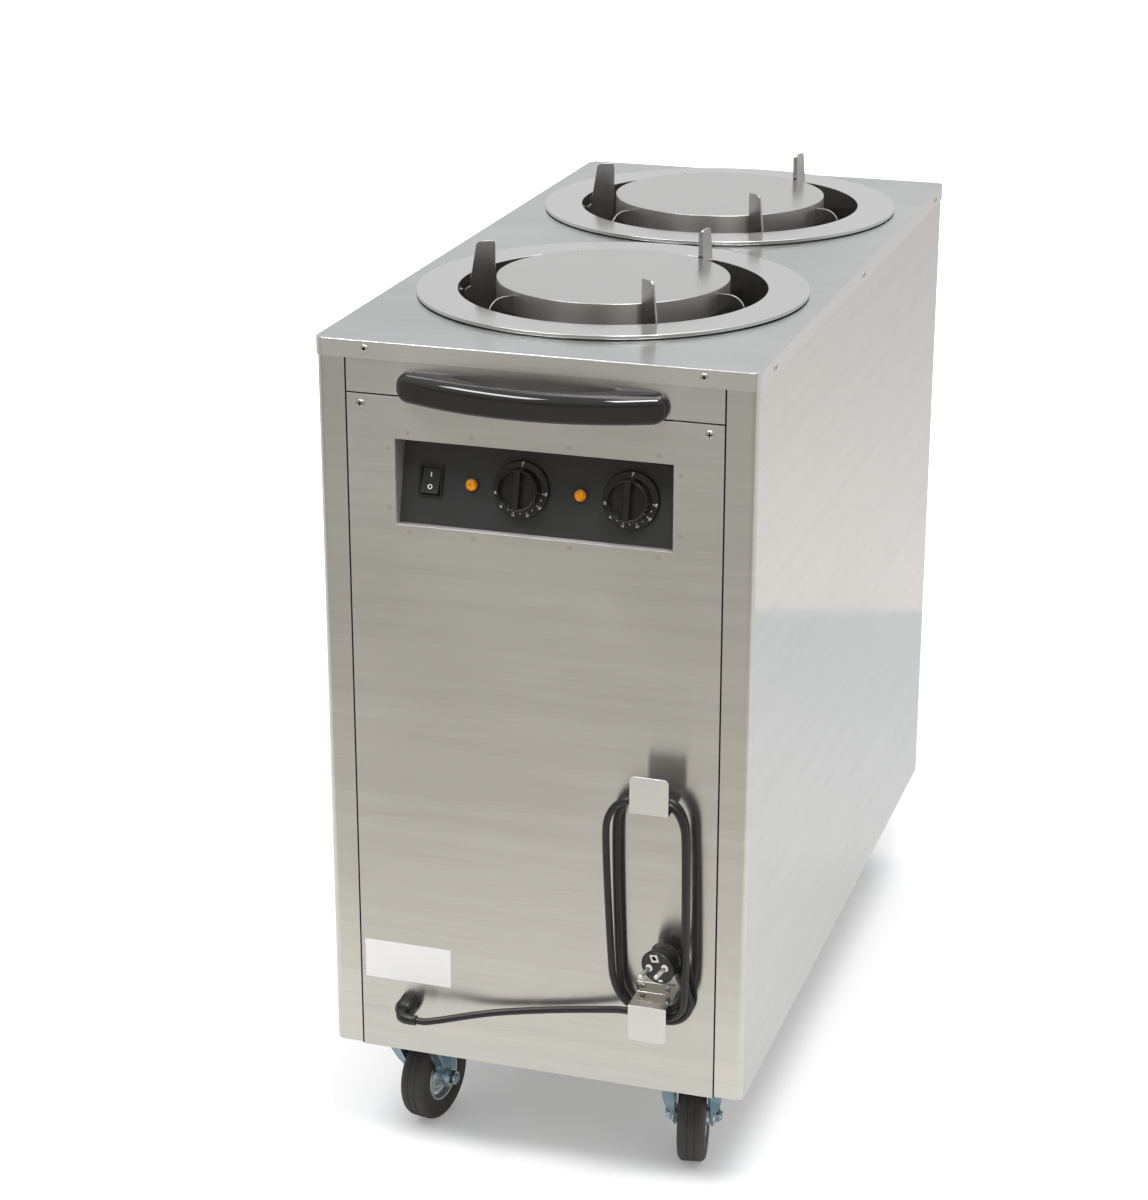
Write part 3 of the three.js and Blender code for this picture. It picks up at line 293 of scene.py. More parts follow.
# the hooks' brackets: a darker, shinier copy of the hook steel, painted shade
BRACKET_SHADE_STEEL = brushed("bracket_steel_painted_shade", (0.62, 0.60, 0.56), 0.16, LEVEL_GRAIN, 0.4)
SPRING_STEEL = brushed("spring_steel", (0.45, 0.45, 0.44), 0.3, (1, 1, 420), 0.0, "Z", 0.5)
WELD_STEEL = brushed("weld_steel", (0.56, 0.54, 0.50), 0.28, LEVEL_GRAIN)
print("brushed:", len(bpy.data.materials))


# %% Plated and moulded surfaces
def moulded(
    name, colour, roughness, size=900.0, depth=0.00004, dust=0.04, spread=0.12, **sockets
):
    """Plastic or rubber with a fine grain and a little dust in soft patches."""
    material, tree, shader, place = new_material(name, **sockets)
    speckle = use_group(tree, SPECKLE, place, Size=size)
    dusty = [channel + dust for channel in colour]
    amount = math_node(tree, "MULTIPLY", speckle["Dust"], 0.5)
    feed(tree, tint(tree, amount, colour, dusty), shader["Base Color"])
    rough = remap(tree, speckle["Dust"], 0, 1, roughness, min(1, roughness + spread))
    feed(tree, rough, shader["Roughness"])
    bump(tree, speckle["Height"], shader, 0.3, depth)
    return material


def plated(name, colour, bright, roughness):
    """Zinc plate with the faint clouds of its passivation."""
    material, tree, shader, place = new_material(name, Metallic=0.9)
    handling = use_group(tree, HANDLING, place, Size=30.0)
    feed(tree, tint(tree, handling["Clouds"], colour, bright), shader["Base Color"])
    rough = remap(tree, handling["Marks"], 0, 1, roughness, roughness + 0.15)
    feed(tree, rough, shader["Roughness"])
    bump(tree, handling["Marks"], shader, 0.1, 0.00005)
    return material


def make_amber():
    """An amber lens, bright in its middle, with painted shade: a darker amber where it turns away from
    the camera.
    """
    glow = {"Emission_Color": (0.95, 0.36, 0.02, 1), "Emission_Strength": 0.03}
    material, tree, shader, place = new_material(
        "amber_lens", Roughness=0.08, Specular_IOR_Level=0.5, **glow
    )
    clouds = use_group(tree, HANDLING, place, Size=240.0)["Clouds"]
    bright = tint(tree, clouds, (0.50, 0.15, 0.003), (0.80, 0.33, 0.008))
    # painted shade: the colour darkens towards the lens's rim as it turns from the camera
    facing = add_node(tree, "ShaderNodeLayerWeight", {"Blend": 0.5}).outputs["Facing"]
    edge = remap(tree, facing, 0.25, 0.75)
    feed(tree, tint(tree, edge, bright, (0.16, 0.035, 0.001)), shader["Base Color"])
    return material


HANDLE_BLACK = moulded(
    "handle_black", (0.008, 0.008, 0.008), 0.04, 700, 0.000001, 0.002, 0.02, Specular_IOR_Level=0.65
)
KNOB_BLACK = moulded("knob_black", (0.011, 0.011, 0.010), 0.24, 1200, 0.00001, 0.005)
SWITCH_BLACK = moulded("switch_black", (0.010, 0.010, 0.010), 0.26, 1200, 0.00001, 0.004)
PLATE_BLACK = moulded("control_plate_black", (0.024, 0.024, 0.025), 0.42, 1500, 0.00002, 0.004)
CORD_BLACK = moulded("cord_black", (0.011, 0.011, 0.011), 0.34, 1500, 0.00003, 0.006)
GLAND_BLACK = moulded("gland_black", (0.010, 0.010, 0.010), 0.32, 1200, 0.00003, 0.006)
CASE_BLACK = moulded("case_black", (0.03, 0.03, 0.03), 0.5)
TYRE_BLACK = moulded("tyre_black", (0.040, 0.034, 0.029), 0.55, 500, 0.0001, 0.04)
PRINT_WHITE = moulded("print_white", (0.80, 0.80, 0.78), 0.5, 1500, 0.00001, 0.0)
LABEL_WHITE = moulded("label_white", (0.80, 0.80, 0.78), 0.38, 300, 0.00001, 0.03)
# painted shade: near-black for the panel's seams, the screws' cross recesses and the plug's earth bore
DARK = moulded("painted_shade_black", (0.006, 0.006, 0.006), 0.8, dust=0.0, Specular_IOR_Level=0.1)
ZINC = plated("zinc", (0.19, 0.35, 0.47), (0.48, 0.61, 0.70), 0.16)
AXLE_ZINC = plated("axle_zinc", (0.60, 0.62, 0.62), (0.78, 0.80, 0.80), 0.22)
RIM_ZINC = plated("rim_zinc", (0.50, 0.57, 0.60), (0.70, 0.76, 0.78), 0.22)
SCREW_STEEL = plated("screw_steel", (0.44, 0.44, 0.42), (0.56, 0.56, 0.54), 0.26)
RIVET_ALLOY = plated("rivet_alloy", (0.48, 0.48, 0.47), (0.62, 0.62, 0.60), 0.28)
NICKEL = plated("nickel", (0.78, 0.76, 0.70), (0.88, 0.86, 0.80), 0.30)
HEATER_METAL = plated("heater_metal", (0.10, 0.095, 0.09), (0.16, 0.15, 0.14), 0.45)
AMBER = make_amber()
print("materials:", len(bpy.data.materials))

# %% [markdown]
# ## Shape helpers
# A sheet-metal edge is never sharp: its small round catches a line of light. The CAD sheets are
# copied, merged and given a narrow bevel. Round pieces are turned from a profile with many more
# steps than the CAD needs.


# %% Plain meshes
def taken(holder, keep_layers=False):
    """The plain mesh that an object's modifiers make; the object goes."""
    seen = bpy.context.evaluated_depsgraph_get()
    result = bpy.data.meshes.new_from_object(
        holder.evaluated_get(seen), preserve_all_data_layers=keep_layers, depsgraph=seen
    )
    holder.modifiers.clear()
    bpy.data.objects.remove(holder)
    return result


def as_mesh(shape):
    mesh = bpy.data.meshes.new("shape")
    shape.to_mesh(mesh)
    shape.free()
    return mesh


def closed_mesh(shape):
    """A bmesh with its double corners merged and its faces turned outwards, as a mesh."""
    bmesh.ops.remove_doubles(shape, verts=shape.verts, dist=0.002 * MM)
    bmesh.ops.recalc_face_normals(shape, faces=shape.faces)
    return as_mesh(shape)


def moved(mesh, place):
    """A copy of a mesh at another place."""
    copy = mesh.copy()
    copy.transform(place)
    return copy


def joined(*meshes):
    """One mesh of several that only lie together."""
    shape = bmesh.new()
    for mesh in meshes:
        shape.from_mesh(mesh)
    return as_mesh(shape)


def evened(mesh):
    """Gives a mesh normals that follow its large faces, so a flat sheet stays flat to its edges."""
    holder = placed("holder", mesh)
    normals = holder.modifiers.new("normals", "WEIGHTED_NORMAL")
    normals.mode = "FACE_AREA"
    normals.keep_sharp = True
    return taken(holder, keep_layers=True)


def bevelled(mesh, width, segments=2, angle=30):
    """A copy of a mesh with its corners rounded off, by a width in millimetres."""
    holder = placed("holder", mesh)
    bevel = holder.modifiers.new("edge", "BEVEL")
    bevel.width = width * MM
    bevel.segments = segments
    bevel.limit_method = "ANGLE"
    bevel.angle_limit = math.radians(angle)
    bevel.use_clamp_overlap = True
    return taken(holder)


def cut(mesh, other):
    """The mesh less another one."""
    body, tool = placed("body", mesh), placed("tool", other)
    modifier = body.modifiers.new("cut", "BOOLEAN")
    modifier.operation = "DIFFERENCE"
    modifier.solver = "EXACT"
    modifier.use_self = True
    modifier.object = tool
    result = taken(body)
    bpy.data.objects.remove(tool)
    return result


def body_with(node):
    bodies = frame["record"]["behaviour"]["bodies"]
    return next(body for body, members in bodies.items() if node in members)


def make_piece(name, mesh, material, node=None, body="cabinet", place=None, sharp=35):
    """A named piece; one that replaces a CAD node takes that node's body, and the node is hidden."""
    if place:
        mesh = moved(mesh, place)
    mesh.materials.clear()
    mesh.materials.append(material)
    mesh.shade_smooth()
    mesh.set_sharp_from_angle(angle=math.radians(sharp))
    mesh = evened(mesh)
    mesh.name = name
    piece = placed(name, mesh)
    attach(piece, body_with(node) if node else body)
    if node:
        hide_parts(node)
    return piece


def finish_and_painted_light(piece, material, chosen):
    """Gives some faces of a piece another material: a change of finish that here also paints light with a
    paler copy and shade with a darker one.
    """
    piece.data.materials.append(material)
    for face in piece.data.polygons:
        if chosen(face):
            face.material_index = 1


def round_fold(shape, radius):
    """Rounds the level fold round the top of the cover, by a radius in millimetres."""
    half_x, half_y = ((COVER_HIGH[axis] - COVER_LOW[axis]) / 2 for axis in (0, 1))
    edges = []
    for edge in shape.edges:
        tilts = sorted(abs(face.normal.z) for face in edge.link_faces)
        place = (edge.verts[0].co + edge.verts[1].co) / 2
        inset = min(half_x - abs(place.x), half_y - abs(place.y - CABINET_Y))
        level = all(abs(vert.co.z - COVER_TOP) < 0.01 * MM for vert in edge.verts)
        if level and len(tilts) == 2 and tilts[0] < 0.3 and tilts[1] > 0.9 and inset < 4 * MM:
            edges.append(edge)
    bmesh.ops.bevel(
        shape, geom=edges, offset=radius * MM, segments=4, profile=0.5, affect="EDGES", clamp_overlap=True
    )
    print("edges rounded on the cover:", len(edges))


def softened(node, material, width, segments=2, fold=0.0):
    """Replaces a CAD node by a copy whose edges are rounded, by widths in millimetres."""
    shape = bmesh.new()
    shape.from_mesh(frame["nodes"][node].data)
    bmesh.ops.remove_doubles(shape, verts=shape.verts, dist=0.01 * MM)
    bmesh.ops.dissolve_limit(
        shape, angle_limit=math.radians(0.5), verts=shape.verts, edges=shape.edges
    )
    if fold:
        round_fold(shape, fold)
    rounded = bevelled(as_mesh(shape), width, segments)
    return make_piece(f"{node}_finished", rounded, material, node)


# %% Turned and raised shapes
def arc(x, y, radius, start, end, steps):
    angles = [math.radians(start + (end - start) * k / steps) for k in range(steps + 1)]
    return [(x + radius * math.cos(a), y + radius * math.sin(a)) for a in angles]


def blend(share, start, bend, end):
    """A point on the curve that leaves start and reaches end along the sides of a corner."""
    return (1 - share) ** 2 * start + 2 * share * (1 - share) * bend + share**2 * end


def rounded_profile(points, radius, steps, closed):
    """The profile with a round of the given radius at each of its corners."""
    result = []
    count = len(points)
    for i, (x, y) in enumerate(points):
        here = Vector((x, y))
        if not closed and i in (0, count - 1):
            result.append(here)
            continue
        before = Vector(points[i - 1])
        after = Vector(points[(i + 1) % count])
        into = (before - here).normalized()
        out = (after - here).normalized()
        half = math.acos(max(-1, min(1, into.dot(out)))) / 2
        if half > math.radians(88):
            result.append(here)
            continue
        reach = min(radius / math.tan(half), (before - here).length * 0.45, (after - here).length * 0.45)
        start, end = here + into * reach, here + out * reach
        result += [blend(k / steps, start, here, end) for k in range(steps + 1)]
    return [(p.x, p.y) for p in result]


def bridged(shape, rings):
    """Faces between neighbouring rings of corners; a ring of one corner closes a cap."""
    steps = max(len(ring) for ring in rings)
    for a, b in zip(rings, rings[1:]):
        for k in range(steps):
            n = (k + 1) % steps
            corners = [a[k % len(a)], a[n % len(a)], b[n % len(b)], b[k % len(b)]]
            unique = list(dict.fromkeys(corners))
            if len(unique) > 2:
                shape.faces.new(unique)


def turned(profile, steps=96, closed=False, corner=0.0, corner_steps=3):
    """A mesh turned about Z from (radius, height) points in millimetres, its corners rounded."""
    profile = mm(profile)
    if corner:
        profile = rounded_profile(profile, corner * MM, corner_steps, closed)
    shape = bmesh.new()
    rings = []
    for radius, height in profile:
        if radius < 1e-7:
            rings.append([shape.verts.new((0, 0, height))])
        else:
            ring = arc(0, 0, radius, 0, 360, steps)[:-1]
            rings.append([shape.verts.new((x, y, height)) for x, y in ring])
    bridged(shape, rings + rings[:1] if closed else rings)
    return closed_mesh(shape)


def raised(outline, low, high, place=None):
    """A mesh of a flat outline in XY, raised from low to high, all in millimetres."""
    shape = bmesh.new()
    face = shape.faces.new([shape.verts.new((x, y, low * MM)) for x, y in mm(outline)])
    top = bmesh.ops.extrude_face_region(shape, geom=[face])
    lifted = [item for item in top["geom"] if isinstance(item, bmesh.types.BMVert)]
    bmesh.ops.translate(shape, verts=lifted, vec=(0, 0, (high - low) * MM))
    if place:
        bmesh.ops.transform(shape, matrix=place, verts=shape.verts)
    return closed_mesh(shape)


def block(x0, x1, y0, y1, z0, z1, place=None):
    """A box given in millimetres."""
    return raised([(x0, y0), (x1, y0), (x1, y1), (x0, y1)], z0, z1, place)


def swept(shape, rings):
    """The closed mesh that joins rings of corners, with a face at both ends."""
    bridged(shape, rings)
    for end in (rings[0], rings[-1]):
        shape.faces.new(end)
    return closed_mesh(shape)


def tube(points, radii, sides=32):
    """A closed tube through points, with a radius at each."""
    shape = bmesh.new()
    rings = []
    normal = (points[1] - points[0]).normalized().orthogonal().normalized()
    for i, (point, radius) in enumerate(zip(points, radii)):
        along = (points[min(i + 1, len(points) - 1)] - points[max(i - 1, 0)]).normalized()
        normal = (normal - along * normal.dot(along)).normalized()
        across = along.cross(normal)
        ring = arc(0, 0, radius, 0, 360, sides)[:-1]
        rings.append([shape.verts.new(point + normal * a + across * b) for a, b in ring])
    return swept(shape, rings)


UPRIGHT = spin(90, "X")  # stands a flat outline up, facing the front
print("helpers ready")

# %% [markdown]
# ## Mains cord
# A mains lead keeps its length and bends no tighter than its sheath allows. It leaves the gland at
# the lower left, lies back against the panel, and goes twice round the two hooks before it ends in
# the plug. The route's points repeat those of the CAD model, and a smooth line is drawn through
# them.

# %% Cord route
CORD = 7.5 * MM
LINE_STEP = 2.5 * MM
BEND_STEP = 18  # degrees between the points of a bend
LEAD_POINTS = [
    (-119.4, 32, 181.3),
    (-111.4, 32, 181.3),
    (-98, 29.5, 183.6),
    (-80, 23.5, 186.6),
    (-62, 17.5, 189.6),
    (-40, 12.5, 193.6),
    (-12, 10, 198.9),
    (18, 9, 204.5),
    (48, 9.5, 210.2),
    (72, 11, 214.8),
    (92, 14, 219.4),
    (103, 16, 221.3),
    (112, 17, 221.4),
]
# middle of each bend, its radius across and up, its angles seen from the front, and its
# distances from the panel
BENDS = [
    (141, 247.6, 26.5, 26.5, -90, 0, 20, 28),
    (145, 422.5, 20.5, 36, 0, 90, 24, 22.5),
    (110.5, 422.5, 28, 36, 90, 180, 21.5, 20.5),
    (115.5, 277.9, 26.5, 48, 180, 270, 20.5, 19.5),
    (141.5, 253.9, 24, 24, 270, 360, 19, 18.5),
    (144, 422.5, 20.5, 36, 0, 90, 13.5, 12),
    (116, 422.5, 26, 36, 90, 180, 11, 10),
    (143.7, 257, 49, 47, 180, 270, 9, 5.4),
    (143.7, 235, 25, 25, 270, 380, 5.4, 7.6),
]
WINDING_END = (164.7, 8.5, 250.4)


def route_points():
    points = [on_front(*point) for point in LEAD_POINTS]
    for x, z, across, up, start, end, near, far in BENDS:
        steps = round((end - start) / BEND_STEP)
        for k in range(steps + 1):
            share = k / steps
            angle = math.radians(start + (end - start) * share)
            out = near + (far - near) * share
            point = on_front(x + across * math.cos(angle), out, z + up * math.sin(angle))
            if (point - points[-1]).length > MM:
                points.append(point)
    return [*points, on_front(*WINDING_END)]


def smooth_line(points, spacing):
    """Points along a centripetal Catmull-Rom curve."""
    ends = [2 * points[0] - points[1], *points, 2 * points[-1] - points[-2]]
    line = [points[0]]
    for a, b, c, d in zip(ends, ends[1:], ends[2:], ends[3:]):
        ta, tb, tc = (max(1e-6, (q - p).length) ** 0.5 for p, q in ((a, b), (b, c), (c, d)))
        m1 = ((b - a) / ta - (c - a) / (ta + tb) + (c - b) / tb) * tb
        m2 = ((c - b) / tb - (d - b) / (tb + tc) + (d - c) / tc) * tb
        steps = max(2, math.ceil((c - b).length / spacing))
        for k in range(1, steps + 1):
            t = k / steps
            line.append(
                (2 * t**3 - 3 * t**2 + 1) * b
                + (t**3 - 2 * t**2 + t) * m1
                + (-2 * t**3 + 3 * t**2) * c
                + (t**3 - t**2) * m2
            )
    return line


cord_line = smooth_line(route_points(), LINE_STEP)


# %% Cord
def make_cord():
    curve = bpy.data.curves.new("mains_cord", "CURVE")
    curve.dimensions = "3D"
    curve.bevel_depth = CORD / 2
    curve.bevel_resolution = 5
    curve.use_fill_caps = True
    spline = curve.splines.new("POLY")
    spline.points.add(len(cord_line) - 1)
    for point, place in zip(spline.points, cord_line):
        point.co = (*place, 1)
    curve.materials.append(CORD_BLACK)
    cord = placed("mains_cord", curve)
    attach(cord, "cabinet")
    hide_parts("cord_lead", "cord_winding")
    return cord


cord = make_cord()

# %% [markdown]
# ## Floor and light
# Metal is mostly what it reflects. The camera sees a white sheet with the cart's shadow on it, in a
# white room. Mirrors see that sheet run out into a dim, warm room on the camera's side and end
# behind the cart, and this draws the level line low on the cart's side.

# %% Floor
FLOOR_SIZE = 60
FLOOR_WHITE = (0.89, 0.89, 0.90)
SHEET_END, SHEET_LEAN = 1.526, 0.32  # where the sheet ends behind the cart, and its slant
SHEET_EDGE = 0.01
FAR_TONE = (0.69, 0.67, 0.665)
FILL = 0.23
FAR_SHEET = (0.9, 2.6)  # distances from the cart over which the far sheet is lifted
TONE_REACH = 4.0
# tone of the floor in reflections, by distance along Y
SHEET_TONES = [
    (-3.9, (0.47, 0.46, 0.43)),
    (-3.1, (0.41, 0.40, 0.37)),
    (-1.7, (0.35, 0.34, 0.31)),
    (-1.1, (0.42, 0.41, 0.375)),
    (-0.7, (0.60, 0.59, 0.56)),
    (0.0, (0.64, 0.65, 0.65)),
    (1.5, (0.56, 0.58, 0.60)),
    (3.9, (0.56, 0.58, 0.60)),
]


def sheet_tone(tree, along):
    share = remap(tree, along, -TONE_REACH, TONE_REACH)
    ramp = add_node(tree, "ShaderNodeValToRGB", {"Fac": share})
    stops = ramp.color_ramp.elements
    for y, tone in SHEET_TONES:
        position = (y + TONE_REACH) / (2 * TONE_REACH)
        stop = stops[0] if y == SHEET_TONES[0][0] else stops.new(position)
        stop.position = position
        stop.color = (*tone, 1)
    stops.remove(stops[-1])
    return ramp.outputs["Color"]


def make_floor():
    bpy.ops.mesh.primitive_plane_add(size=FLOOR_SIZE, location=(0, 0, 0))
    floor = bpy.context.object
    floor.name = "floor"
    material, tree, shader, place = new_material(
        "floor_sheet", Roughness=0.9, Specular_IOR_Level=0.1
    )
    ways = add_node(tree, "ShaderNodeSeparateXYZ", {0: place}).outputs
    rays = tree.nodes.new("ShaderNodeLightPath").outputs
    slant = math_node(tree, "MULTIPLY_ADD", ways["X"], SHEET_LEAN, ways["Y"])
    beyond = remap(tree, slant, SHEET_END, SHEET_END + SHEET_EDGE)
    reflected = tint(tree, beyond, sheet_tone(tree, ways["Y"]), FAR_TONE)
    mirrored = math_node(tree, "ADD", rays["Is Glossy Ray"], rays["Is Transmission Ray"])
    colour = tint(tree, mirrored, FLOOR_WHITE, reflected)
    feed(tree, colour, shader["Base Color"])
    feed(tree, colour, shader["Emission Color"])
    # the far sheet is lifted to plain white for the camera, where the lamps no longer reach
    reach = add_node(tree, "ShaderNodeVectorMath", {0: place}, operation="LENGTH").outputs["Value"]
    lift = remap(tree, reach, *FAR_SHEET, FILL, 1.0)
    for_camera = math_node(tree, "MULTIPLY", rays["Is Camera Ray"], lift)
    fill = math_node(tree, "MULTIPLY_ADD", mirrored, FILL, for_camera)
    feed(tree, fill, shader["Emission Strength"])
    floor.data.materials.append(material)


make_floor()

# %% Room and lamps
ROOM_LEVEL = 0.74
ROOM_SEEN = 1.2  # level of the white behind the cart, as the camera sees it
ROOM_DARK = (0.36, 0.34, 0.29)


def make_room():
    """White all round and above, dim and warm low on the camera's side."""
    world = bpy.data.worlds.new("studio")
    scene.world = world
    world.use_nodes = True
    tree = world.node_tree
    background = tree.nodes["Background"].inputs
    seen = tree.nodes.new("ShaderNodeLightPath").outputs["Is Camera Ray"]
    place = tree.nodes.new("ShaderNodeTexCoord").outputs["Generated"]
    ways = add_node(tree, "ShaderNodeSeparateXYZ", {0: place}).outputs
    behind_camera = remap(tree, ways["Y"], 0.1, -0.6)
    dim = math_node(tree, "MULTIPLY", behind_camera, remap(tree, ways["Z"], 0.75, 0.2))
    dim = math_node(tree, "MULTIPLY", dim, math_node(tree, "SUBTRACT", 1.0, seen))
    feed(tree, tint(tree, dim, (1.0, 1.0, 1.0), ROOM_DARK), background["Color"])
    level = add_node(tree, "ShaderNodeMix", {"A": ROOM_LEVEL, "B": ROOM_SEEN, "Factor": seen})
    feed(tree, level.outputs["Result"], background["Strength"])


def add_lamp(name, size, power, place, target, colour=(1, 1, 1)):
    lamp = bpy.data.lights.new(name, "AREA")
    lamp.shape = "RECTANGLE"
    lamp.size, lamp.size_y = size
    lamp.energy = power
    lamp.color = colour
    aim(placed(name, lamp), place, target)


make_room()
add_lamp("overhead", (2.4, 1.6), 32, (0.4, 0.3, 3.1), (0, 0, 0.4), (1, 0.99, 0.98))
add_lamp("strip_left", (1.4, 0.45), 28, (-0.95, -1.3, 2.6), (0, -0.4, 0.85))
add_lamp("strip_right", (0.9, 0.45), 26, (0.75, -1.3, 2.6), (0, -0.4, 0.85))
print("lamps:", [light.name for light in bpy.data.lights])

# %% [markdown]
# ## Cabinet
# The cabinet is folded from brushed stainless sheet. Each sheet keeps its CAD shape, with its edges
# just broken, and the cover has a rounder fold. The front and side grain runs level, as it does on
# the coil. Cut edges, folds and the control recess have a duller finish, in a paler steel that
# paints light on them. The cover's turned-down rim has level grain and a paler, warmer tone than
# its top, which is painted light.

# %% Sheets
for node in ("side_shell_left", "side_shell_right"):
    softened(node, SIDE_STEEL, 0.2)
for node in ("front_fascia", "front_panel", "rear_panel"):
    panel = softened(node, FRONT_STEEL, 0.2)
    # cut edges and folds: duller, and paler, which is painted light
    finish_and_painted_light(panel, DULL_LIT_STEEL, lambda face: abs(face.normal.z) > 0.3)
cover = softened("top_cover", COVER_STEEL, 0.4, fold=0.8)
# the turned-down rim gets the paler, warmer copy: painted light
finish_and_painted_light(cover, RIM_LIT_STEEL, lambda face: abs(face.normal.z) < 0.85)
softened("base_plate", WELL_STEEL, 0.3, 1)
# the recess walls: duller, and paler, which is painted light
softened("control_recess", DULL_LIT_STEEL, 0.15, 1)

# %% Seam shade
SEAM = 1.6
SEAM_SHADE_NEAR, SEAM_SHADE_FAR = 0.08, 2.6  # behind the panel's face
SEAM_SHADE_LAP = 0.2  # over the broken edges of the sheets


def seam_gasket():
    """A black strip in the joints round the front panel: painted shade for the shadow in the gaps."""
    low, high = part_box("front_panel")
    (left, front, bottom), (right, _, top) = ([value / MM for value in end] for end in (low, high))
    fascia_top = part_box("front_fascia")[1][2] / MM
    depth = (front + SEAM_SHADE_NEAR, front + SEAM_SHADE_FAR)
    strips = [
        block(x - SEAM_SHADE_LAP, x + SEAM + SEAM_SHADE_LAP, *depth, bottom + 1, fascia_top - 1)
        for x in (left - SEAM, right)
    ]
    strips.append(block(left, right, *depth, top - SEAM_SHADE_LAP, top + SEAM + SEAM_SHADE_LAP))
    make_piece("seam_gasket", joined(*strips), DARK)


seam_gasket()

# %% [markdown]
# ## Rivets and screws
# The cover is held by blind rivets through its rim, the panel and the hooks by cross-head screws.
# A fastener is modelled once and set on points by Geometry Nodes. Each point carries the turn that
# stands the head on its sheet, and the tree ends in real geometry.

# %% Fastener heads
HEAD_FOOT = -0.2  # a head starts this far inside its sheet
BAR_SHARE = 0.42  # width of a recess's bars


def dome(radius, height, hole=0.0):
    outer = [(x * radius, z * height) for x, z in arc(0, 0, 1, 0, 90, 6)]
    if hole:
        outer = [point for point in outer if point[0] > hole]
        return [(0, HEAD_FOOT), (radius, HEAD_FOOT), *outer, (hole, height), (hole, 0), (0, 0)]
    return [(0, HEAD_FOOT), (radius, HEAD_FOOT), *outer[:-1], (0, height)]


def cross(radius, low, high):
    """A cross-shaped mesh of two bars, between two heights."""
    bars = bmesh.new()
    for width, length in ((2, BAR_SHARE), (BAR_SHARE, 2)):
        size = mm([(width * radius, length * radius, high - low)])[0]
        place = shift(z=(low + high) / 2) @ Matrix.Diagonal((*size, 1))
        bmesh.ops.create_cube(bars, size=1, matrix=place)
    return as_mesh(bars)


def screw_head(radius, height, recess, depth, steps=32):
    """A domed head with a cross recess."""
    return cut(turned(dome(radius, height), steps), cross(recess, height - depth, height + depth))


RIVET = turned(dome(4.1, 1.25, 1.6), 32)
SCREW = screw_head(4.5, 2.1, 2.9, 1.6)
HOOK_SCREW = screw_head(3.3, 1.8, 2.1, 1.3)
SMALL_SCREW = screw_head(2.2, 0.9, 1.2, 0.5, 24)


# %% Heads on points
def heads_tree():
    """Stands a head on every point of a mesh, turned by the point's own turn."""
    tree = bpy.data.node_groups.new("heads_on_points", "GeometryNodeTree")
    for label, way, kind in (
        ("Geometry", "INPUT", "Geometry"),
        ("Head", "INPUT", "Object"),
        ("Finish", "INPUT", "Material"),
        ("Geometry", "OUTPUT", "Geometry"),
    ):
        tree.interface.new_socket(label, in_out=way, socket_type=f"NodeSocket{kind}")
    given, out = tree.nodes.new("NodeGroupInput").outputs, tree.nodes.new("NodeGroupOutput").inputs
    head = add_node(tree, "GeometryNodeObjectInfo", {"Object": given["Head"]})
    turn = add_node(
        tree, "GeometryNodeInputNamedAttribute", {"Name": "turn"}, data_type="FLOAT_VECTOR"
    )
    as_rotation = add_node(tree, "FunctionNodeEulerToRotation", {"Euler": turn.outputs["Attribute"]})
    inputs = {
        "Points": given["Geometry"],
        "Instance": head.outputs["Geometry"],
        "Rotation": as_rotation.outputs["Rotation"],
    }
    stand = add_node(tree, "GeometryNodeInstanceOnPoints", inputs)
    inputs = {"Geometry": stand.outputs["Instances"]}
    realize = add_node(tree, "GeometryNodeRealizeInstances", inputs)
    inputs = {"Geometry": realize.outputs["Geometry"], "Material": given["Finish"]}
    finish = add_node(tree, "GeometryNodeSetMaterial", inputs)
    feed(tree, finish.outputs["Geometry"], out["Geometry"])
    return tree


def socket_id(tree, label):
    sockets = tree.interface.items_tree
    return next(item.identifier for item in sockets if item.in_out == "INPUT" and item.name == label)


def grown(name, start, tree, **values):
    """Runs a geometry tree on a mesh and returns the plain mesh that it makes."""
    holder = placed(name, start)
    modifier = holder.modifiers.new("tree", "NODES")
    modifier.node_group = tree
    for label, value in values.items():
        modifier[socket_id(tree, label)] = value
    return taken(holder)


HEADS = heads_tree()
FACING = {
    "front": (math.pi / 2, 0, 0),
    "right": (math.pi / 2, 0, math.pi / 2),
    "left": (math.pi / 2, 0, -math.pi / 2),
    "up": (0, 0, 0),
}


def fasteners(name, head, places, material):
    """places are (point, facing) pairs."""
    start = bpy.data.meshes.new(name)
    start.from_pydata([point for point, _ in places], [], [])
    turn = start.attributes.new("turn", "FLOAT_VECTOR", "POINT")
    for item, (_, facing) in zip(turn.data, places):
        item.vector = FACING[facing]
    head_object = placed("head", head)
    mesh = grown(name, start, HEADS, Head=head_object, Finish=material)
    bpy.data.objects.remove(head_object)
    print(name, "heads:", len(places), "triangles:", sum(len(p.vertices) - 2 for p in mesh.polygons))
    make_piece(name, mesh, material, sharp=50)


def facing_front(xs, zs, out=0):
    return [(on_front(x, out, z), "front") for x in xs for z in zs]


# %% Rivets and screws in place
RIM_FRONT = COVER_LOW[1]
RIM_SIDE = COVER_HIGH[0]
rivet_places = [(Vector((x * MM, RIM_FRONT, 0.892)), "front") for x in (-171.5, 171.5)]
for y in (-393.2, 1.3, 402):
    for side, facing in ((1, "right"), (-1, "left")):
        rivet_places.append((Vector((side * RIM_SIDE, CABINET_Y + y * MM, 0.890)), facing))
fasteners("rim_rivets", RIVET, rivet_places, RIVET_ALLOY)

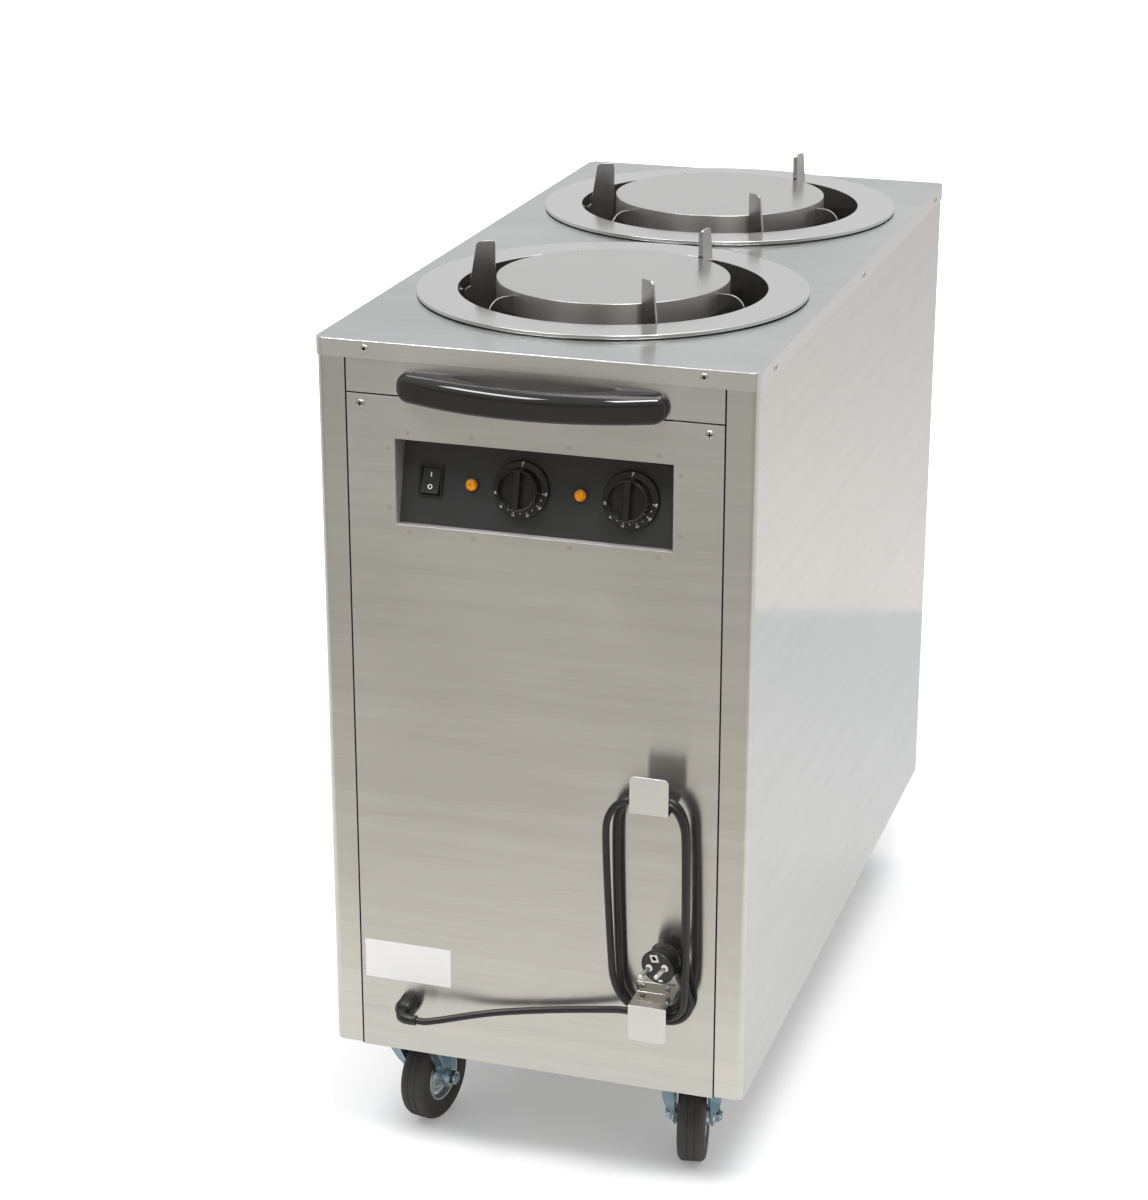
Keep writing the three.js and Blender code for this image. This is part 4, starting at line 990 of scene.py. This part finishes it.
HOOK_X = middle("cord_hook_lower", 0) / MM
HOOK_FLANGE = 1.8
panel_screws = facing_front((-177.4, 177.4), (836,))
hook_screws = facing_front((HOOK_X - 13.5, HOOK_X + 13.5), (243.8, 444.5), HOOK_FLANGE)
fasteners("panel_screws", SCREW, panel_screws, SCREW_STEEL)
fasteners("hook_screws", HOOK_SCREW, hook_screws, SCREW_STEEL)
# black crosses down in the screws' recesses: painted shade
fasteners("panel_screw_recesses", cross(2.8, 0.1, 1.25), panel_screws, DARK)
fasteners("hook_screw_recesses", cross(2.0, 0.1, 1.0), hook_screws, DARK)

RING_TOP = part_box("ring_front")[1][2]
ring_screws = [(Vector((-83.2 * MM, y + 149.5 * MM, RING_TOP)), "up") for y in WELLS.values()]
fasteners("ring_screws", SMALL_SCREW, ring_screws, SCREW_STEEL)

# %% [markdown]
# ## Spot welds and label
# Round dots where the recess is welded to the back of the panel show as faint dimples. The label is
# a thin bare sheet with round corners.

# %% Welds and label
WELD = turned([(0, -0.1), (2.6, -0.1), (2.3, 0.04), (0, 0.02)], 24)
weld_places = facing_front((-149.5, 149.5), (731, 792))
weld_places += facing_front((-128, -62, 38, 128), (707.5, 810))
fasteners("spot_welds", WELD, weld_places, WELD_STEEL)

LABEL_X, LABEL_Z = (-187.7, -92.7), (207.7, 251.3)
LABEL_CORNER, LABEL_THICKNESS = 0.8, 0.12


def make_label():
    r = LABEL_CORNER
    (left, right), (low, high) = LABEL_X, LABEL_Z
    corners = [(right - r, high - r), (left + r, high - r), (left + r, low + r), (right - r, low + r)]
    outline = []
    for k, (x, z) in enumerate(corners):
        outline += arc(x, z, r, 90 * k, 90 * (k + 1), 4)
    mesh = raised(outline, 0.0, LABEL_THICKNESS, Matrix.Translation((0, PANEL_Y, 0)) @ UPRIGHT)
    make_piece("bare_label", mesh, LABEL_WHITE)


make_label()

# %% [markdown]
# ## Control plate
# The black plate leans back in its recess. Everything on it is built with Z out of the plate and Y
# up it, then set in place by one matrix.

# %% Plate frame
RECESS_LOW, RECESS_HIGH = 9, 31
CUTOUT_BOTTOM, CUTOUT_TOP = 714.5, 803
LEAN = math.atan2(RECESS_HIGH - RECESS_LOW, CUTOUT_TOP - CUTOUT_BOTTOM)
CONTROL_LINE = 43.6
SWITCH_X = -112
LAMP_X = {"left": -69, "right": 43.4}
KNOB_X = {"left": -17.3, "right": 95}


def on_plate(x):
    """The place of a control, by its distance across the plate."""
    plate = Matrix.Translation(on_front(0, -RECESS_LOW, CUTOUT_BOTTOM))
    return plate @ Matrix.Rotation(-LEAN, 4, "X") @ UPRIGHT @ shift(x, CONTROL_LINE)


softened("control_plate", PLATE_BLACK, 0.2, 1)
print("plate leans", round(math.degrees(LEAN), 2), "degrees")

# %% Knobs
GRIP_RADIUS, GRIP_HEIGHT, GRIP_RIM = 21, 19, 2.2
GRIP_BAR, POCKET_DEPTH = 6, 7
DIAL_EDGE, DIAL_NECK = (28, 3.7), (21.9, 4.9)  # the dial's face rises from its edge to the grip
DIAL_SLOPE = math.atan2(DIAL_NECK[1] - DIAL_EDGE[1], DIAL_EDGE[0] - DIAL_NECK[0])
DOT_CIRCLE, NUMBER_CIRCLE, TICK_FOOT, TOP_DOT = 23.6, 26.2, 24.4, 22.9
NUMBER_SIZE = 3.3
NUMBER_STEP = 32.7  # degrees between the numbers on the dial
NUMBER_START = 101.4  # anticlockwise from the mark at the top
INK = 0.03


def knob_shape():
    """A dial skirt and a grip with two pockets either side of a wall."""
    profile = [(0, 0.6), (28, 0.6), (29, 1.8), DIAL_EDGE, DIAL_NECK]
    profile += [(21.4, 6), (20.8, 17.2), (19.6, GRIP_HEIGHT), (0, GRIP_HEIGHT)]
    mesh = turned(profile, corner=0.7)
    reach = GRIP_RADIUS - GRIP_RIM
    corner = math.degrees(math.acos(GRIP_BAR / 2 / reach))
    for facing in (0, 180):
        outline = arc(0, 0, reach, facing - corner, facing + corner, 32)
        mesh = cut(mesh, raised(outline, GRIP_HEIGHT - POCKET_DEPTH, GRIP_HEIGHT + 1))
    return bevelled(mesh, 0.4, 3, 40)


def printed(text, size):
    """Flat printed figures, as a mesh a little proud of what carries them."""
    words = bpy.data.curves.new("figures", "FONT")
    words.body = text
    words.size = size * MM
    words.align_x = "CENTER"
    words.align_y = "CENTER"
    words.extrude = INK * MM
    words.resolution_u = 3
    return taken(placed("figures", words))


def on_dial(angle, radius):
    height = DIAL_EDGE[1] + (DIAL_EDGE[0] - radius) * math.tan(DIAL_SLOPE) + 0.05
    return spin(angle) @ shift(y=radius, z=height) @ Matrix.Rotation(-DIAL_SLOPE, 4, "X")


def dial_marks():
    """Dots and plain numbers round the dial, and the mark at its top."""
    dot = turned([(0, -0.05), (0.55, -0.05), (0.55, INK), (0, INK)], 12)
    # the numbers grow anticlockwise, so they reach the top one by one as the knob turns clockwise
    angles = [NUMBER_START + NUMBER_STEP * k / 2 for k in range(11)]
    marks = [moved(dot, on_dial(angle, DOT_CIRCLE)) for angle in angles]
    for k, angle in enumerate(angles[::2]):
        marks.append(moved(printed(str(30 + 10 * k), NUMBER_SIZE), on_dial(angle, NUMBER_CIRCLE)))
    tick = [(-0.5, 0), (0.9, 0), (1.6, 3.4), (0.2, 3.4)]
    marks.append(raised(tick, -INK, INK, on_dial(0, TICK_FOOT)))
    return joined(*marks, moved(dot, on_dial(0, TOP_DOT)))


KNOB = knob_shape()
MARKS = dial_marks()
for side, x in KNOB_X.items():
    knob = f"knob_{side}"
    make_piece(f"{knob}_moulding", KNOB, KNOB_BLACK, knob, place=on_plate(x))
    make_piece(
        f"dial_{side}_figures", MARKS, PRINT_WHITE, body=knob, place=on_plate(x)
    )


# %% Pilot lamps
def lens_shape():
    lens = [(0, 1.2), (6.2, 1.2), (6.2, 2.2), (5.7, 3.6), (4.2, 4.7), (2.2, 5.2), (0, 5.3)]
    stem = turned([(0, -20), (5, -20), (5, 0.2), (0, 0.2)], 32)
    return joined(turned(lens, 48, corner=0.3), stem)


LENS_SHAPE = lens_shape()
bezel = [(5.6, 0), (7.2, 0), (7.2, 0.9), (6.7, 1.7), (6.3, 1.9), (6.3, 0.6), (5.6, 0.6)]
LAMP_RING = turned(bezel, 48, True, 0.15, 2)
for side, x in LAMP_X.items():
    place = on_plate(x)
    make_piece(f"lamp_{side}_lens", LENS_SHAPE, AMBER, f"lamp_{side}", place=place)
    make_piece(f"lamp_{side}_ring", LAMP_RING, CASE_BLACK, place=place)

# %% Rocker switch
ROCKER_TILT = 10  # degrees; the whole paddle is pressed in at the top
ROCKER_PIVOT, ROCKER_END, ROCKER_REACH = 1.2, 2.27, 12.9
ROCKER_FACE = math.atan2(ROCKER_END - ROCKER_PIVOT, ROCKER_REACH)  # rises from pivot to end
MARK_UP, MARK_INK = 6.2, 0.06


def rocker_marks():
    """I above O, on the two faces of the rocker."""
    line = block(-0.5, 0.5, -2.2, 2.2, 0, MARK_INK)
    ring = turned([(1.6, 0), (2.5, 0), (2.5, MARK_INK), (1.6, MARK_INK)], 32, True)
    marks = []
    for side, shape in ((1, line), (-1, ring)):
        face = spin(-ROCKER_TILT, "X") @ shift(z=ROCKER_PIVOT)
        face = face @ Matrix.Rotation(side * ROCKER_FACE, 4, "X")
        marks.append(moved(shape, face @ shift(y=side * MARK_UP)))
    return joined(*marks)


softened("switch_body", SWITCH_BLACK, 0.6, 3)
softened("switch_rocker", SWITCH_BLACK, 0.5, 3)
make_piece(
    "rocker_marks", rocker_marks(), PRINT_WHITE, body="rocker",
    place=on_plate(SWITCH_X),
)

# %% [markdown]
# ## Push handle
# One moulding in glossy black plastic: a bow with half-round ends, rounded along every edge. The
# lamps above draw a bright line along its top edge.

# %% Handle
HANDLE_HALF, HANDLE_FOOT = 138, 86  # half length, and half of the opening behind the bow
HANDLE_REACH, HANDLE_TIP, HANDLE_WALL = 42, 9, 15  # out from the panel in the middle and at the ends
HANDLE_END = 14  # half the height of the bar
HANDLE_Z = 858.5
HANDLE_BLUFF = 7  # rounding of the front at both ends
HANDLE_STEPS = 120


def handle_section(near, far, half):
    """The bar's outline as (out, up) points: a large round on top in front, small ones elsewhere."""
    wall = far - near
    corners = (
        (far, half, 0, min(11.3, 0.76 * wall)),
        (near, half, 90, min(3, 0.2 * wall)),
        (near, -half, 180, min(3, 0.2 * wall)),
        (far, -half, 270, min(3.6, 0.4 * wall)),
    )
    points = []
    for out, up, start, bend in corners:
        bend = min(bend, half * 0.98)
        x = out - bend if out == far else out + bend
        z = up - bend if up > 0 else up + bend
        points += arc(x, z, bend, start, start + 90, 12)
    return points


def bow_at(x, span, low, high):
    """How far out an arc stands that rises from low at its span to high in the middle."""
    rise = high - low
    radius = (span**2 + rise**2) / (2 * rise)
    return high - radius + math.sqrt(max(0, radius**2 - x**2))


def handle_shape():
    """The bow swept from end to end, with its section turned in at both ends."""
    shape = bmesh.new()
    rings = []
    for k in range(HANDLE_STEPS + 1):
        x = HANDLE_HALF * math.sin(math.pi * (k / HANDLE_STEPS - 0.5))
        inner = 0.3
        if abs(x) < HANDLE_FOOT:
            inner = bow_at(x, HANDLE_FOOT, inner, HANDLE_REACH - HANDLE_WALL)
        into_end = max(0, abs(x) - (HANDLE_HALF - HANDLE_END)) / HANDLE_END
        half = max(HANDLE_END * math.sqrt(max(0, 1 - into_end**2)), 0.05)
        turn_in = max(0, abs(x) - (HANDLE_HALF - HANDLE_BLUFF))
        bluff = HANDLE_BLUFF - math.sqrt(max(0, HANDLE_BLUFF**2 - turn_in**2))
        outer = max(bow_at(x, HANDLE_HALF, HANDLE_TIP, HANDLE_REACH) - bluff, inner + 1.5)
        section = handle_section(inner, outer, half)
        rings.append([shape.verts.new(on_front(x, out, HANDLE_Z + up)) for out, up in section])
    return swept(shape, rings)


make_piece("push_handle_moulding", handle_shape(), HANDLE_BLACK, "push_handle", sharp=40)

# %% [markdown]
# ## Wells, rings, lifts and fingers
# Each well has a bright spun ring that drops into the cover, a round lift platform with three fins
# that slide on the wall, and three guide fingers. The turned parts get a fine, even grain.

# %% Rings
NECK_RADIUS, NECK_BOTTOM = 161, 866
FIN_ANGLES = (-10, 110, 230)
FINGER_ANGLES = {"right": -60, "back": 60, "left": 180}
SPRING_STEP = 5  # degrees from a fin to its spring
BLADE = 1.25  # half the thickness of fins and fingers


def ring_shape():
    outside = 204
    profile = [
        (NECK_RADIUS, NECK_BOTTOM),
        (162.2, NECK_BOTTOM),
        (162.2, 903.6),
        (202.6, 903.4),
        (202.8, 901.2),
        (outside, 901.2),
        (outside, 905),
        (NECK_RADIUS, 905),
    ]
    tabs = [block(139, 161.8, -7, 7, 868, 871, spin(angle + SPRING_STEP)) for angle in FIN_ANGLES]
    return joined(turned(profile, 160, True, 0.7, 4), *tabs)


# %% Lift platforms
SKIRT_INSIDE, SKIRT_OUTSIDE, SKIRT_BOTTOM, DISC_TOP = 120, 121.5, 891, 916
LEG_INSIDE, LEG_OUTSIDE, LEG_BOTTOM, FOOT_TOP = 138, 151, 740, 743
SPRING_CIRCLE, SPRING_RADIUS = 143, 7


def lift_shape():
    profile = [(0, 914.5), (119.5, 914.5), (SKIRT_INSIDE, 913.5), (SKIRT_INSIDE, SKIRT_BOTTOM)]
    profile += [(SKIRT_OUTSIDE, SKIRT_BOTTOM), (SKIRT_OUTSIDE, DISC_TOP), (0, DISC_TOP)]
    parts = [turned(profile, 160, corner=0.9, corner_steps=4)]
    outline = [(120.8, 911), (120.8, SKIRT_BOTTOM), (LEG_INSIDE, 876), (LEG_INSIDE, LEG_BOTTOM)]
    outline += [(LEG_OUTSIDE, LEG_BOTTOM), *arc(133, 893, 18, 0, 90, 14)]
    foot = SPRING_CIRCLE * math.sin(math.radians(SPRING_STEP)) + SPRING_RADIUS
    for angle in FIN_ANGLES:
        parts.append(bevelled(raised(outline, -BLADE, BLADE, spin(angle) @ UPRIGHT), 0.5))
        parts.append(block(LEG_INSIDE, LEG_OUTSIDE, 0, foot, LEG_BOTTOM, FOOT_TOP, spin(angle)))
    return joined(*parts)


def on_skirt(face, well_y):
    """Whether a face is part of the platform's turned-down skirt."""
    radius = math.hypot(face.center.x, face.center.y - well_y)
    near = abs(radius - 120.7 * MM) < 1.2 * MM
    return near and abs(face.normal.z) < 0.6 and face.center.z > SKIRT_BOTTOM * MM


# %% Guide fingers
FINGER_INNER, FINGER_TURN, FINGER_TOP = 129, 20, 944


def finger_shape(angle):
    """A flat finger with round top corners and a small fold along its inner edge."""
    turn = math.radians(FINGER_TURN)
    across = FINGER_INNER * math.sin(turn)
    wall = math.sqrt((NECK_RADIUS - 0.3) ** 2 - (across + BLADE) ** 2)
    foot = wall - FINGER_INNER * math.cos(turn) - 0.4
    low = NECK_BOTTOM + 6
    outline = [(0, low), (foot, low), (foot, 892), (27, 896), (27, 900)]
    outline += arc(14.5, FINGER_TOP - 6, 6, 0, 90, 10) + arc(3, FINGER_TOP - 3, 3, 90, 180, 8)
    blade = raised(outline, -BLADE, BLADE, UPRIGHT)
    lip = block(0, 1.5, 0, 4, low, FINGER_TOP - 3)
    shape = joined(bevelled(blade, 0.5, 3), bevelled(lip, 0.35))
    return moved(shape, spin(angle) @ shift(FINGER_INNER) @ spin(FINGER_TURN))


# %% Wells in place
RING_SHAPE = ring_shape()
LIFT_SHAPE = lift_shape()
FINGER_SHAPES = {side: finger_shape(angle) for side, angle in FINGER_ANGLES.items()}
HEATER_SHAPE = turned(arc(120, 177.75, 4.25, 0, 348, 29), 96, True)
for where, y in WELLS.items():
    place = Matrix.Translation((0, y, 0))
    ring, lift, heater = f"ring_{where}", f"lift_{where}", f"heater_{where}"
    make_piece(f"{ring}_spun", RING_SHAPE, RING_STEEL, ring, place=place)
    platform = make_piece(f"{lift}_platform", LIFT_SHAPE, LIFT_STEEL, lift, place=place)
    # the skirt faces get the darker copy of the steel: painted shade
    finish_and_painted_light(platform, SKIRT_SHADE_STEEL, lambda face: on_skirt(face, y))
    make_piece(f"{heater}_tube", HEATER_SHAPE, HEATER_METAL, heater, place=place)
    for side, shape in FINGER_SHAPES.items():
        finger = f"finger_{where}_{side}"
        make_piece(f"{finger}_blade", shape, FINGER_STEEL, finger, place=place)
    softened(f"well_{where}", WELL_STEEL, 0.4, 1)
print("wells dressed:", list(WELLS))

# %% [markdown]
# ## Hooks and gland
# The hooks are bent strips of steel, pale and satin on their front plates; their brackets behind
# get a darker, shinier copy of the steel, which is painted shade. The gland is a nut on a thread
# through the panel, with a dome and a ribbed nozzle that turns the cord towards the hooks.

# %% Hooks
for node in ("cord_hook_upper", "cord_hook_lower"):
    hook = softened(node, HOOK_STEEL, 0.45, 3)
    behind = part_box(node)[0][1] + 1.6 * MM
    # the bracket faces behind the front plate get the darker copy: painted shade
    finish_and_painted_light(hook, BRACKET_SHADE_STEEL, lambda face: face.center.y > behind)

# %% Gland
GLAND_X, GLAND_Z, GLAND_REACH, GLAND_BEND = -139.7, 181.3, 20, 12
NOZZLE_RIBS = 7


def nozzle_line():
    """From inside the dome, out and round to the cord."""
    out = GLAND_REACH + GLAND_BEND
    line = [on_front(GLAND_X, GLAND_REACH - 4 + k, GLAND_Z) for k in range(4)]
    bend = [(GLAND_X, GLAND_REACH), (GLAND_X, out), (GLAND_X + GLAND_BEND, out)]
    bend = [on_front(*point, GLAND_Z) for point in bend]
    line += [blend(k / 24, *bend) for k in range(25)]
    return line + [on_front(GLAND_X + GLAND_BEND + k, out, GLAND_Z) for k in (2, 4, 6, 7.4, 8)]


def gland_shape():
    thread = turned([(0, -12), (7.8, -12), (7.8, 0.5), (0, 0.5)], 32)
    nut = bevelled(raised(arc(0, 0, 12.5, 0, 300, 5), 0.3, 5.4), 0.6, 3)
    dome = [(0, 5), (10.6, 5), (11.2, 6), (11.2, 12), (10.4, 15.5), (8.6, 18.5), (6.5, 20), (0, 20)]
    stand = Matrix.Translation(on_front(GLAND_X, 0, GLAND_Z)) @ UPRIGHT
    body = moved(joined(thread, nut, turned(dome, 48, corner=0.8)), stand)
    line = nozzle_line()
    radii = []
    for k in range(len(line)):
        along = k / (len(line) - 1)
        rib = 0.35 * (0.5 - 0.5 * math.cos(2 * math.pi * NOZZLE_RIBS * along))
        radii.append((6.1 - 0.6 * along - rib) * MM)
    radii[-1] = 4.9 * MM
    return joined(body, tube(line, radii))


make_piece("cable_gland_moulding", gland_shape(), GLAND_BLACK, "cable_gland")

# %% [markdown]
# ## Plug
# A round earthed plug: a shallow recessed face with two pins, an earth contact with its hole above
# them and a spring clip below, grip ribs round the sides, and a strain relief that tapers down to
# the end of the cord.

# %% Plug frame
PLUG_AXIS = Vector((-0.24, -0.96, -0.12)).normalized()
PLUG_FACE = on_front(141.2, 36, 285)
PLUG_TURN = Vector((0, 0, 1)).rotation_difference(PLUG_AXIS).to_matrix().to_4x4()
ON_PLUG = Matrix.Translation(PLUG_FACE) @ PLUG_TURN
PIN_PLACES = [shift(side * 9.5) for side in (1, -1)]
EARTH_PLACE = shift(y=11.0)
GRIP_RIBS = 40
RELIEF, RELIEF_STEPS = 34, 40  # length of the strain relief
GROOVES, GROOVED = 6.0, 0.62  # number of grooves, and the share of the relief that has them


# %% Plug shapes
def plug_body():
    profile = [(0, -26), (12.3, -26), (13.2, -24.5), (14.2, -22), (16.8, -12), (18.2, -4)]
    profile += [(18.5, -1.5), (17.9, -0.1), (16.2, -0.1), (15.9, -0.9), (0, -0.9)]
    parts = [turned(profile, corner=0.7)]
    rib = block(-0.35, 0.35, -0.3, 0.5, -21, -5)
    lean = Matrix.Rotation(math.atan2(3.6, 17), 4, "X")
    for k in range(GRIP_RIBS):
        place = spin(360 * k / GRIP_RIBS) @ shift(y=16.35, z=-13) @ lean @ shift(z=13)
        parts.append(moved(rib, place))
    return joined(*parts)


def plug_metal():
    """Both pins, the earth contact with its rim, and the clip."""
    profile = [(0, -1), (2.4, -1), (2.4, 17.6), (1.9, 18.6), (1.1, 19), (0, 19)]
    pin = turned(profile, 32, corner=0.5)
    contact = block(-4.6, 4.6, 6.2, 15, -1.0, -0.3)
    hole = moved(turned([(0, -3), (2.5, -3), (2.5, 3), (0, 3)], 32), EARTH_PLACE)
    rim = turned([(2.5, -0.4), (3.4, -0.4), (3.2, 0.15), (2.7, 0.15)], 32, True)
    clip = bevelled(block(-2.6, 2.6, -15.6, -13.2, -1.0, 0.1), 0.3)
    pins = [moved(pin, place) for place in PIN_PLACES]
    return joined(*pins, bevelled(cut(contact, hole), 0.3), moved(rim, EARTH_PLACE), clip)


def plug_collars():
    """The pale collars round the pins."""
    collar = turned([(2.4, -1), (3.7, -1), (3.7, 0.25), (3.3, 0.6), (2.4, 0.6)], 32, True)
    return joined(*(moved(collar, place) for place in PIN_PLACES))


def plug_bore():
    """A black disc down the earth contact's bore: painted shade in the hole."""
    return moved(turned([(0, -1.1), (2.45, -1.1), (2.45, -0.75), (0, -0.75)], 24), EARTH_PLACE)


def relief_shape():
    """Tapers from the plug's side down to the cord, with grooves near the cord."""
    along = (cord_line[-1] - cord_line[-4]).normalized()
    start = cord_line[-1] + along * 0.3 * MM
    shares = [k / RELIEF_STEPS for k in range(RELIEF_STEPS + 1)]
    radii = []
    for share in shares:
        wave = 0.5 - 0.5 * math.cos(2 * math.pi * GROOVES * share / GROOVED)
        groove = 0.55 * wave if share < GROOVED else 0
        radii.append((4.6 + 2.4 * share - groove * (0.4 + share)) * MM)
    return tube([start + along * (RELIEF * MM * share) for share in shares], radii, 40)


# %% Plug in place
plug = joined(moved(plug_body(), ON_PLUG), relief_shape())
make_piece("plug_moulding", plug, GLAND_BLACK, "plug")
make_piece("plug_contacts", plug_metal(), NICKEL, place=ON_PLUG)
make_piece("plug_collars", plug_collars(), LABEL_WHITE, place=ON_PLUG)
make_piece("plug_bore", plug_bore(), DARK, place=ON_PLUG)
print("plug face", tuple(round(value, 4) for value in PLUG_FACE))

# %% [markdown]
# ## Casters
# Each caster is a zinc-plated plate with a ball race, a pressed fork with a hexagon axle nut, and a
# black rubber tyre on a pressed rim. They stand at the angles the photograph shows.

# %% Caster shapes
CASTERS = {"front_left": -10.5, "front_right": 11, "rear_left": -24, "rear_right": 17}
CASTER_X, CASTER_Y, TRAIL, AXLE_HEIGHT = 152, 382, 20, 50
TYRE_RADIUS, TYRE_HALF = 50, 15
GROOVE_STEP = 1.85
MAIN_GROOVES = (-2, 2)


def tyre_shape():
    """A grooved tread between two round shoulders."""
    shoulder = arc(43, 8, 7, 90, 8, 6)
    profile = [(29.3, -13), (33, -TYRE_HALF), (36, -TYRE_HALF), (39.5, -TYRE_HALF)]
    profile += [(x, -z) for x, z in shoulder]
    for k in range(-4, 5):
        centre = GROOVE_STEP * k
        floor = TYRE_RADIUS - (0.8 if k in MAIN_GROOVES else 0.3)
        profile += [(TYRE_RADIUS, centre - 0.6), (floor, centre - 0.3)]
        profile += [(floor, centre + 0.3), (TYRE_RADIUS, centre + 0.6)]
    profile += reversed(shoulder)
    profile += [(39.5, TYRE_HALF), (36, TYRE_HALF), (33, TYRE_HALF), (29.3, 13)]
    return turned(profile, 128, True, 1.2)


def rim_shape():
    side = [(5.4, 18), (10.6, 18), (11.2, 17), (11.6, 7.5), (14.5, 6.2), (17, 6.8), (19.6, 5.4)]
    side += [(22.2, 5.2), (24, 6.5), (25.4, 11), (26.2, 13.1), (29, 13.1)]
    return turned([(r, -z) for r, z in side] + side[::-1], 96, True, 0.9, 4)


def axle_shape():
    """Bolt, washers and hexagon nuts on both sides of the fork."""
    parts = [turned([(0, -30), (4.2, -30), (5, -29), (5, 29), (4.2, 30), (0, 30)], 32)]
    washer = turned([(5, 21.3), (10, 21.3), (10, 22.6), (5, 22.6)], 40, True)
    nut = bevelled(raised(arc(0, 0, 8.5, 0, 300, 5), 22.6, 28.3), 0.7)
    for side in (1, -1):
        parts += [moved(part, Matrix.Diagonal((1, 1, side, 1))) for part in (washer, nut)]
    return joined(*parts)


def race_shape():
    profile = [(0, 112.4), (18, 112.4), (22, 113.2), (26.6, 119.5), (27, 122), (27, 124.9), (0, 124.9)]
    return turned(profile, 64, corner=1.2)


# %% Casters in place
TYRE, RIM, AXLE, RACE = tyre_shape(), rim_shape(), axle_shape(), race_shape()
ON_AXLE = shift(y=TRAIL, z=AXLE_HEIGHT) @ spin(90, "Y")
for where, angle in CASTERS.items():
    x = CASTER_X * (-1 if where.endswith("left") else 1) * MM
    y = CABINET_Y + CASTER_Y * (-1 if where.startswith("front") else 1) * MM
    stand = Matrix.Translation((x, y, 0))
    wheel = stand @ spin(angle) @ ON_AXLE
    make_piece(f"tyre_{where}", TYRE, TYRE_BLACK, f"wheel_tyre_{where}", place=wheel)
    make_piece(f"rim_{where}", RIM, RIM_ZINC, f"wheel_rim_{where}", place=wheel)
    make_piece(f"axle_{where}", AXLE, AXLE_ZINC, body=f"swivel_{where}", place=wheel)
    make_piece(f"race_{where}", RACE, ZINC, place=stand)
    softened(f"caster_fork_{where}", ZINC, 0.8)
    softened(f"caster_plate_{where}", ZINC, 0.6)
print("casters:", list(CASTERS))

# %% [markdown]
# ## Inner parts
# The thermostats and springs keep their CAD shape and get their materials here.

# %% Thermostats and springs
for side in KNOB_X:
    softened(f"thermostat_{side}", CASE_BLACK, 0.6)
for node, item in frame["nodes"].items():
    if node.startswith("spring_"):
        item.data.materials.clear()
        item.data.materials.append(SPRING_STEEL)
